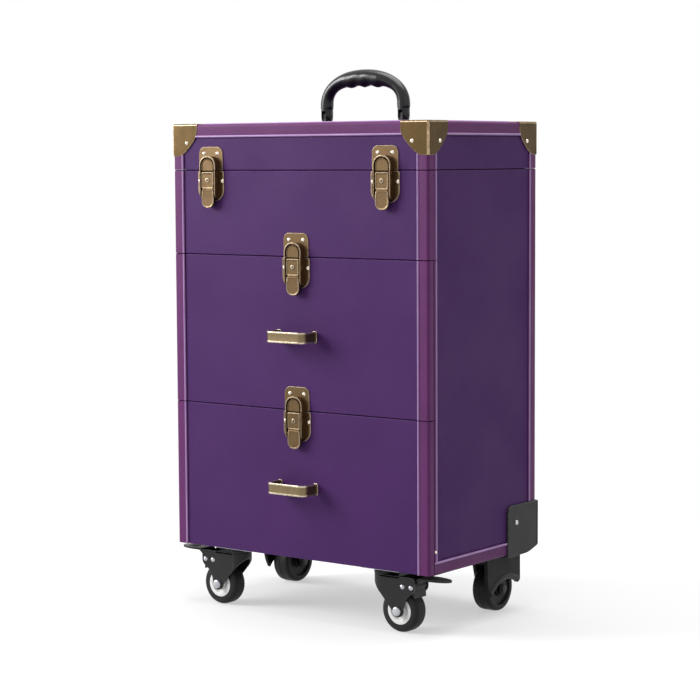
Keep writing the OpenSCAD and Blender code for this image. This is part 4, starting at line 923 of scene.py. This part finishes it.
walls = [put(side_wrap, RIGHT, half_w, 0, 0), put(back_wrap, BACK, 0, back_y, 0),
         swept(circle(1.0, 12), stops), board((wrap_x, wrap_front, wrap_low), (half_w, 100, bottom_z), 0.8)]
legs = [put(skirt, RIGHT, skirt_x, 0, 0), put(arm, RIGHT, skirt_x, 0, 0),
        put(inner_leg, RIGHT, inner_x, 0, 0),
        board((inner_x, skirt_front, 74.5), (skirt_x + leg_t, skirt_back, bed_top), 1.0)]
screw = put(sink(plate(circle(3.2, 24), [0] * 24, 1.5, 0.7), [(0.4, 0)]), RIGHT, half_w + 3.4, 72, 121)
axle = turned([(0, -21.5), (5, -21.5), (5.5, -21), (5.5, -20.1), (4, -20.1), (4, 17.6), (5.5, 17.6),
               (5.5, 18.5), (5, 19), (0, 19)])
axle = put(axle, RIGHT, rear_x, rear_y, rear_r)
piece("rear_housing_mouldings", "case",
      finished(pairs(walls), matte_black) + finished(pairs(legs), painted_shade_black) +
      finished(pair(screw), zinc) + finished(pair(axle), paint_black), ["rear_wheel_housings"])

tyre_side = [(4.2, 0), (9.4, 0), (10, 0.6), (10.4, 3.6), (21.4, 3.6), (22, 0.6), (22.6, 0), (26.4, 0),
             (28.4, 0.7), (29.5, 2.4), (rear_r, 5), (rear_r, 11.6), (rear_r - 0.5, 12), (rear_r - 0.5, 12.6)]
for side in ("left", "right"):
    wheel = turned(both_faces([(r, depth - rear_half) for r, depth in tyre_side]), 64)
    piece(side + "_rear_wheel_moulding", side + "_rear",
          on_side([(put(wheel, RIGHT, 0, 0, rear_r), rubber)], side, rear_x, rear_y), [side + "_rear_wheel"])

# Trolley handle: two rectangular tubes of clear-anodised aluminium in black moulded brackets on the back,
# two thinner tubes sliding in them, and a rounded black grip with a press button that frees the slides.

anodised = finish("clear anodised tube", (176, 178, 182), (160, 162, 168), brushing, 350.0,
                  roughness=0.34, uneven=0.1, bump=0.1, creased=0.12, tone_scale=25.0,
                  wear_and_highlight=(206, 207, 210), Metallic=0.9)
tube_x, tube_mid, bracket_half, bracket_back, inset = 58.0, 131.5, 14.0, 142.0, 0.2
socket_half, socket_front, socket_back = 10.1, 124.9, 138.1


def tubes(w, d, r, low, high, thick):
    """A pair of rectangular tubes with rounded corners, standing on their lower ends."""
    bm = pad(w / 2, d / 2, r, high - low, 0.2, 2)
    bmesh.ops.inset_region(bm, faces=[top_face(bm)], thickness=thick, depth=0, use_even_offset=True)
    bmesh.ops.inset_region(bm, faces=[top_face(bm)], thickness=0, depth=low - high + 2)
    return finished([moved(bm.copy(), x, tube_mid, low) for x in (-tube_x, tube_x)], anodised)


piece("trolley_outer_tube_pair", "case", tubes(20, 13, 2, 120, 545, 1.3), ["trolley_outer_tubes"])
piece("trolley_inner_tube_pair", "trolley", tubes(17, 10, 1.6, 135, 548, 1.2),
      ["trolley_inner_tubes"])

shapes, screws, half = [], [], bracket_half - inset
for x in (-tube_x, tube_x):
    for low, high in ((112, 145), (505, 545)):
        middle = (low + high) / 2
        for x0, x1 in ((-bracket_half, -socket_half), (socket_half, bracket_half)):
            shapes.append(board((x + x0, back_y, low), (x + x1, bracket_back, high), 1.0))
        shapes.append(board((x - bracket_half, socket_back, low),
                            (x + bracket_half, bracket_back, high), 1.2))
        shapes.append(board((x - half, back_y, low), (x + half, socket_front, high), 0.8))
        for e in (-1, 1):
            shapes.append(put(pad(4, 7, 3, 3, 0.8), BACK, x + e * 16.5, back_y, middle))
            screws.append(put(dome(2.4, 1.2), BACK, x + e * 17, back_y + 2.9, middle))
    shapes.append(board((x - half, back_y, 112), (x + half, bracket_back - inset, 119.9), 1.0))
piece("trolley_bracket_mouldings", "case",
      finished(shapes, matte_black) + finished(screws, zinc), ["trolley_brackets"])

grip_y, grip_z, button_top = 137.0, 557.0, 570.0
bar = []
for x, y, start in ((7, 5, 0), (-7, 5, 90), (-7, -5, 180), (7, -5, 270)):
    bar += arc(x, y, 6, start, start + 90, 5)
half_grip = [(-75, 0.72), (-74, 0.86), (-72, 0.95), (-68, 1.0), (-40, 1.0), (-30, 0.97), (-18, 0.97)]
stops = [place((x, grip_y, grip_z), (0, size, 0), (0, 0, size), (1, 0, 0))
         for x, size in half_grip + [(0, 0.98)] + [(-x, size) for x, size in reversed(half_grip)]]
button_frame = moved(sink(pad(15, 8, 4, 1.0, 0.5), [(1.6, 0), (0.3, -0.9)]), 0, grip_y, 567.2)
piece("trolley_grip_moulding", "trolley",
      [(swept(bar, stops), matte_black), (button_frame, gloss_black)], ["trolley_grip"])
shapes = [moved(pad(12.6, 5.6, 2.5, 7.5, 1.0), 0, grip_y, 563)]
for x in (-6, -2, 2, 6):
    shapes.append(board((x - 0.5, grip_y - 3.6, button_top), (x + 0.5, grip_y + 3.6, button_top + 1), 0.3))
piece("trolley_button_cap", "button", finished(shapes, zinc), ["trolley_button"])

# Lid hinges: brass-plated butt hinges screwed to the backs of shell and lid.
# Each leaf is rolled into knuckles round a steel pin, and three round-headed screws hold it.

hinge_x, hinge_y, hinge_half, knuckle_w = 120.0, 126.6, 25.0, 10.0


def hinge_leaf(up, first):
    """A leaf with its knuckles and its screws, above or below the hinge line."""
    leaf = plate(oblong(-hinge_half, 4.4, hinge_half, 25), [0.5, 0.5, 4, 4], 1.2, 0.4)
    if up < 0:
        bmesh.ops.rotate(leaf, cent=(0, 0, 0), matrix=Matrix.Rotation(pi, 3, 'Z'), verts=leaf.verts)
    made = [put(leaf, BACK, 0, back_y, lid_z)]
    for k in range(first, 5, 2):
        x = -hinge_half + (k + 0.5) * knuckle_w
        low, high = sorted((lid_z + up * 1.2, lid_z + up * 5.2))
        made += [moved(rod(4, knuckle_w / 2 - 0.2), x, hinge_y, lid_z),
                 board((x - 4.8, back_y, low), (x + 4.8, hinge_y - 0.8, high), 0.3)]
    screws = [put(dome(2.8, 0.9), BACK, x, back_y + 1.1, lid_z + up * away)
              for x, away in ((-16, 17), (0, 13), (16, 17))]
    return finished(made, antique_brass) + finished(screws, rivet_brass)


for name, body, up, first in (("hinge_case_leaves", "case", -1, 0), ("hinge_lid_leaves", "lid", 1, 1)):
    parts = [(moved(bm, x, 0, 0), used) for x in (-hinge_x, hinge_x) for bm, used in hinge_leaf(up, first)]
    piece(name + "_rolled", body, parts, [name])
pins = [moved(rod(2, hinge_half + 0.6, 0.5), x, hinge_y, lid_z) for x in (-hinge_x, hinge_x)]
piece("hinge_pin_wires", "case", finished(pins, zinc), ["hinge_pins"])

# Drawers: open boxes of black-stained plywood glued behind the fronts, each with a flocked mat in the bottom.
# A plated steel slide is screwed to each side and runs in a channel on the shell. A dark sheet closes the
# parting line above each front, painted as the shade in the gap.

# Plywood: long streaks of grain with thin dark lines
ply_grain, given, result = effect("Plywood grain", [("Scale", 60.0)], ["Height", "Crease"])
long_way = node(ply_grain, "VectorMath", {0: given["Vector"], 1: (0.6, 0.6, 9.0)}, operation='MULTIPLY')
rings = noise(ply_grain, long_way.outputs[0], given["Scale"], 5.0, 0.65)
give(ply_grain, result, Height=rings, Crease=ranged(ply_grain, rings, 0.55, 0.72))

# Flock: a soft nap of short fibres
nap, given, result = effect("Flock nap", [("Scale", 1800.0)], ["Height", "Crease"])
fibres = noise(nap, given["Vector"], given["Scale"], 3.0)
brushed = noise(nap, given["Vector"], 45.0, 3.0)
give(nap, result, Height=fibres, Crease=ranged(nap, brushed, 0.5, 0.7))

stained = finish("black-stained plywood", (54, 48, 50), (42, 37, 39), ply_grain, 60.0, roughness=0.5,
                 bump=0.12, creased=0.3, tone_scale=14.0, wear_and_highlight=(88, 78, 74))
flock = finish("black flocked lining", (36, 33, 40), (26, 24, 30), nap, 1800.0, roughness=0.9, bump=0.4,
               creased=0.3, tone_scale=25.0, Sheen_Weight=0.25)
# Seal colour: a dark purple sheet painted as the shade inside the parting-line gaps.
painted_gap_shade = finish("dark seal with painted gap shade", (34, 14, 46), (26, 10, 36), nap, 1800.0, roughness=0.95, bump=0.3,
              tone_scale=25.0, Specular_IOR_Level=0.05)

box_x, box_in, box_front, box_rear, box_t = 184.0, 175.9, -112.0, 107.0, 8.0
seal_x, seal_front = 204.4, -121.4
rolled = [(0, -12.2), (8.6, -12.2), (8.6, -9.2), (7.4, -9.2), (7.4, -11), (1.2, -11),
          (1.2, 11), (7.4, 11), (7.4, 9.2), (8.6, 9.2), (8.6, 12.2), (0, 12.2)]

for name, low, high, rail_z, line_z in (("upper_drawer", 280, 451, 340, line_1),
                                        ("lower_drawer", 93, 250, 153, line_2)):
    in_front, in_rear = box_front + box_t, box_rear - box_t
    walls = pair(board((box_x - box_t, box_front, low), (box_x, box_rear, high), 0.7))
    walls += [board((-box_in, box_front, low), (box_in, in_front, high), 0.7),
              board((-box_in, in_rear, low), (box_in, box_rear, high), 0.7),
              board((-box_in, in_front, low), (box_in, in_rear, low + 5), 0.3)]
    piece(name + "_plywood_box", name, finished(walls, stained), [name + "_box"])
    mat = board((0.5 - box_in, in_front + 0.5, low + 4.6), (box_in - 0.5, in_rear - 0.5, low + 6), 0.4)
    # The seal is a dark sheet in the parting line, painted as the shade of the gap.
    seal = board((-seal_x, seal_front, line_z - 1.2), (seal_x, -112.2, line_z + 0.35), 0.3)
    piece(name + "_mat_and_seal", name, [(mat, flock), (seal, painted_gap_shade)])
    slides = [strip(rolled, (box_x, -105, rail_z), (1, 0, 0), (0, 0, 1), (0, 210, 0)),
              board((188, -105, rail_z - 7.5), (194.2, 105, rail_z + 7.5), 1.2)]
    slides += [put(dome(3, 1), RIGHT, 185.1, y, rail_z + up) for y in (-80, 0, 80) for up in (9, -9)]
    piece(name + "_slide_members", name, finished(pairs(slides), zinc), [name + "_rails"])

# Inside of the shell: black flocked lining on the compartment walls and floor and inside the lid, and a
# thin lip that stands up inside the lid and closes its parting line. The boards that only show when a
# drawer is out keep their plain shape, in the same lining.

lining_t, lip_x, lip_front, lip_back, lip_low, lip_high, lip_t = 1.0, 195.1, -110.6, 112.0, 568, 587, 1.2
seal_low, seal_high = lid_z - 1.4, lid_z + 0.35


def lining(front, low, flat_z, high):
    """Thin lining on the front, the back, both sides and one level face of a box."""
    x, back = in_x - 0.4, in_back - 0.8
    made = [board((-x, front + 0.6, flat_z), (x, back + 0.4, flat_z + lining_t), 0.4),
            board((-x, front, low), (x, front + lining_t, high), 0.4),
            board((-x, back, low), (x, back + lining_t, high), 0.4)]
    return made + pair(board((x - 0.4, front + 0.8, low), (x - 0.4 + lining_t, back + 0.2, high), 0.4))


shapes = lining(front=-111.2, low=477, flat_z=476.6, high=578.6)
shapes += pair(board((lip_x - lip_t, lip_front, lip_low), (lip_x, lip_back, lip_high), 0.4))
for y in (lip_front, lip_back - lip_t):
    shapes.append(board((1.1 - lip_x, y, lip_low), (lip_x - 1.1, y + lip_t, lip_high), 0.4))
# Dark sheets in the lid's parting line, painted as the shade of the gap.
seals = [board((-seal_x, seal_front, seal_low), (seal_x, side_y, seal_high), 0.3),
         board((-seal_x, in_back, seal_low), (seal_x, 121.2, seal_high), 0.3)]
seals += pair(board((in_x + 0.3, side_y - 0.2, seal_low), (seal_x, in_back + 0.2, seal_high), 0.3))
piece("compartment_lining", "case", finished(shapes, flock) + finished(seals, painted_gap_shade))
shapes = lining(front=-113.2, low=581.6, flat_z=630.2, high=630.6)
piece("lid_lining", "lid", finished(shapes, flock))
for name, used in (("bottom_panel", flock), ("compartment_floor", flock), ("drawer_divider", flock),
                   ("case_drawer_rails", zinc), ("lid_stays", zinc)):
    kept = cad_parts[name]
    kept.data.materials.clear()
    kept.data.materials.append(used)

# Studio: a white floor that runs out to a white ground, a large soft lamp in front on the left and above,
# a weaker one on the right, another overhead, and an even pale surround.

floor_mesh = bpy.data.meshes.new("floor")
sheet = bmesh.new()
bmesh.ops.create_grid(sheet, x_segments=1, y_segments=1, size=20.0)
sheet.to_mesh(floor_mesh)
sheet.free()
floor = bpy.data.objects.new("floor", floor_mesh)
bpy.context.scene.collection.objects.link(floor)
paper = bpy.data.materials.new("white paper floor")
paper.use_nodes = True
tree = paper.node_tree
shader = tree.nodes["Principled BSDF"]
shader.inputs["Roughness"].default_value = 0.6
shader.inputs["Specular IOR Level"].default_value = 0.2
white, pale_grey, mid_grey = (1.0, 1.0, 1.0, 1.0), (0.95, 0.95, 0.95, 1.0), (0.45, 0.45, 0.45, 1.0)
place_on_floor = node(tree, "TexCoord").outputs["Object"]
distance = node(tree, "VectorMath", {0: place_on_floor}, operation='LENGTH').outputs["Value"]
far_off = node(tree, "MapRange", {"Value": distance, "From Min": 0.3, "From Max": 0.9, "To Min": 0.5},
               interpolation_type='SMOOTHSTEP').outputs["Result"]


def seen_directly(tree):
    """One for camera, mirror and glass rays, and nought for the light that falls on things."""
    path = node(tree, "LightPath").outputs
    seen = worked(tree, 'MAXIMUM', path["Is Camera Ray"], path["Is Glossy Ray"])
    return worked(tree, 'MAXIMUM', seen, path["Is Transmission Ray"])


seen = seen_directly(tree)
tree.links.new(mixed(tree, seen, mid_grey, pale_grey), shader.inputs["Base Color"])
glow = node(tree, "Emission", {"Color": white, "Strength": 1.0})
share = worked(tree, 'MULTIPLY', far_off, seen)
both = node(tree, "MixShader", {0: share, 1: shader.outputs[0], 2: glow.outputs[0]})
tree.links.new(both.outputs[0], tree.nodes["Material Output"].inputs["Surface"])
floor_mesh.materials.append(paper)

world = bpy.data.worlds.new("pale surround")
bpy.context.scene.world = world
world.use_nodes = True
tree = world.node_tree
dim = tree.nodes["Background"]
dim.inputs["Color"].default_value = white
dim.inputs["Strength"].default_value = 0.36
bright = node(tree, "Background", {"Color": white, "Strength": 1.0})
both = node(tree, "MixShader", {0: seen_directly(tree), 1: dim.outputs[0], 2: bright.outputs[0]})
tree.links.new(both.outputs[0], tree.nodes["World Output"].inputs["Surface"])


def lamp(name, spot, target, size, power):
    """A square soft lamp aimed at the case."""
    light = bpy.data.lights.new(name, 'AREA')
    light.size, light.energy = size, power
    made = bpy.data.objects.new(name, light)
    made.location = spot
    made.rotation_euler = (Vector(target) - Vector(spot)).to_track_quat('-Z', 'Y').to_euler()
    bpy.context.scene.collection.objects.link(made)


lamp("key lamp", (-2.2, -1.6, 1.5), (0, 0, 0.35), 1.5, 95)
lamp("fill lamp", (2.6, -0.4, 1.3), (0, 0, 0.35), 1.4, 3)
lamp("top lamp", (0.2, 0.3, 2.6), (0, 0, 0.3), 2.0, 55)

# Camera: the photograph's viewpoint, low in front of the right corner, with a long lens.

spot = (1.683, -2.239, 0.596)
yaw, pitch, roll = radians(37.05), radians(-5.19), radians(-0.31)
ahead = Vector((-sin(yaw) * cos(pitch), cos(yaw) * cos(pitch), sin(pitch)))
across = Vector((cos(yaw), sin(yaw), 0))
upward = across.cross(ahead)
across, upward = across * cos(roll) + upward * sin(roll), upward * cos(roll) - across * sin(roll)
lens = bpy.data.cameras.new("camera")
lens.sensor_width, lens.lens = 36.0, 109.13
camera = bpy.data.objects.new("camera", lens)
camera.matrix_world = place(spot, across, upward, -ahead)
bpy.context.scene.collection.objects.link(camera)
bpy.context.scene.camera = camera
bpy.context.scene.view_settings.view_transform = 'Standard'

bpy.context.view_layer.update()
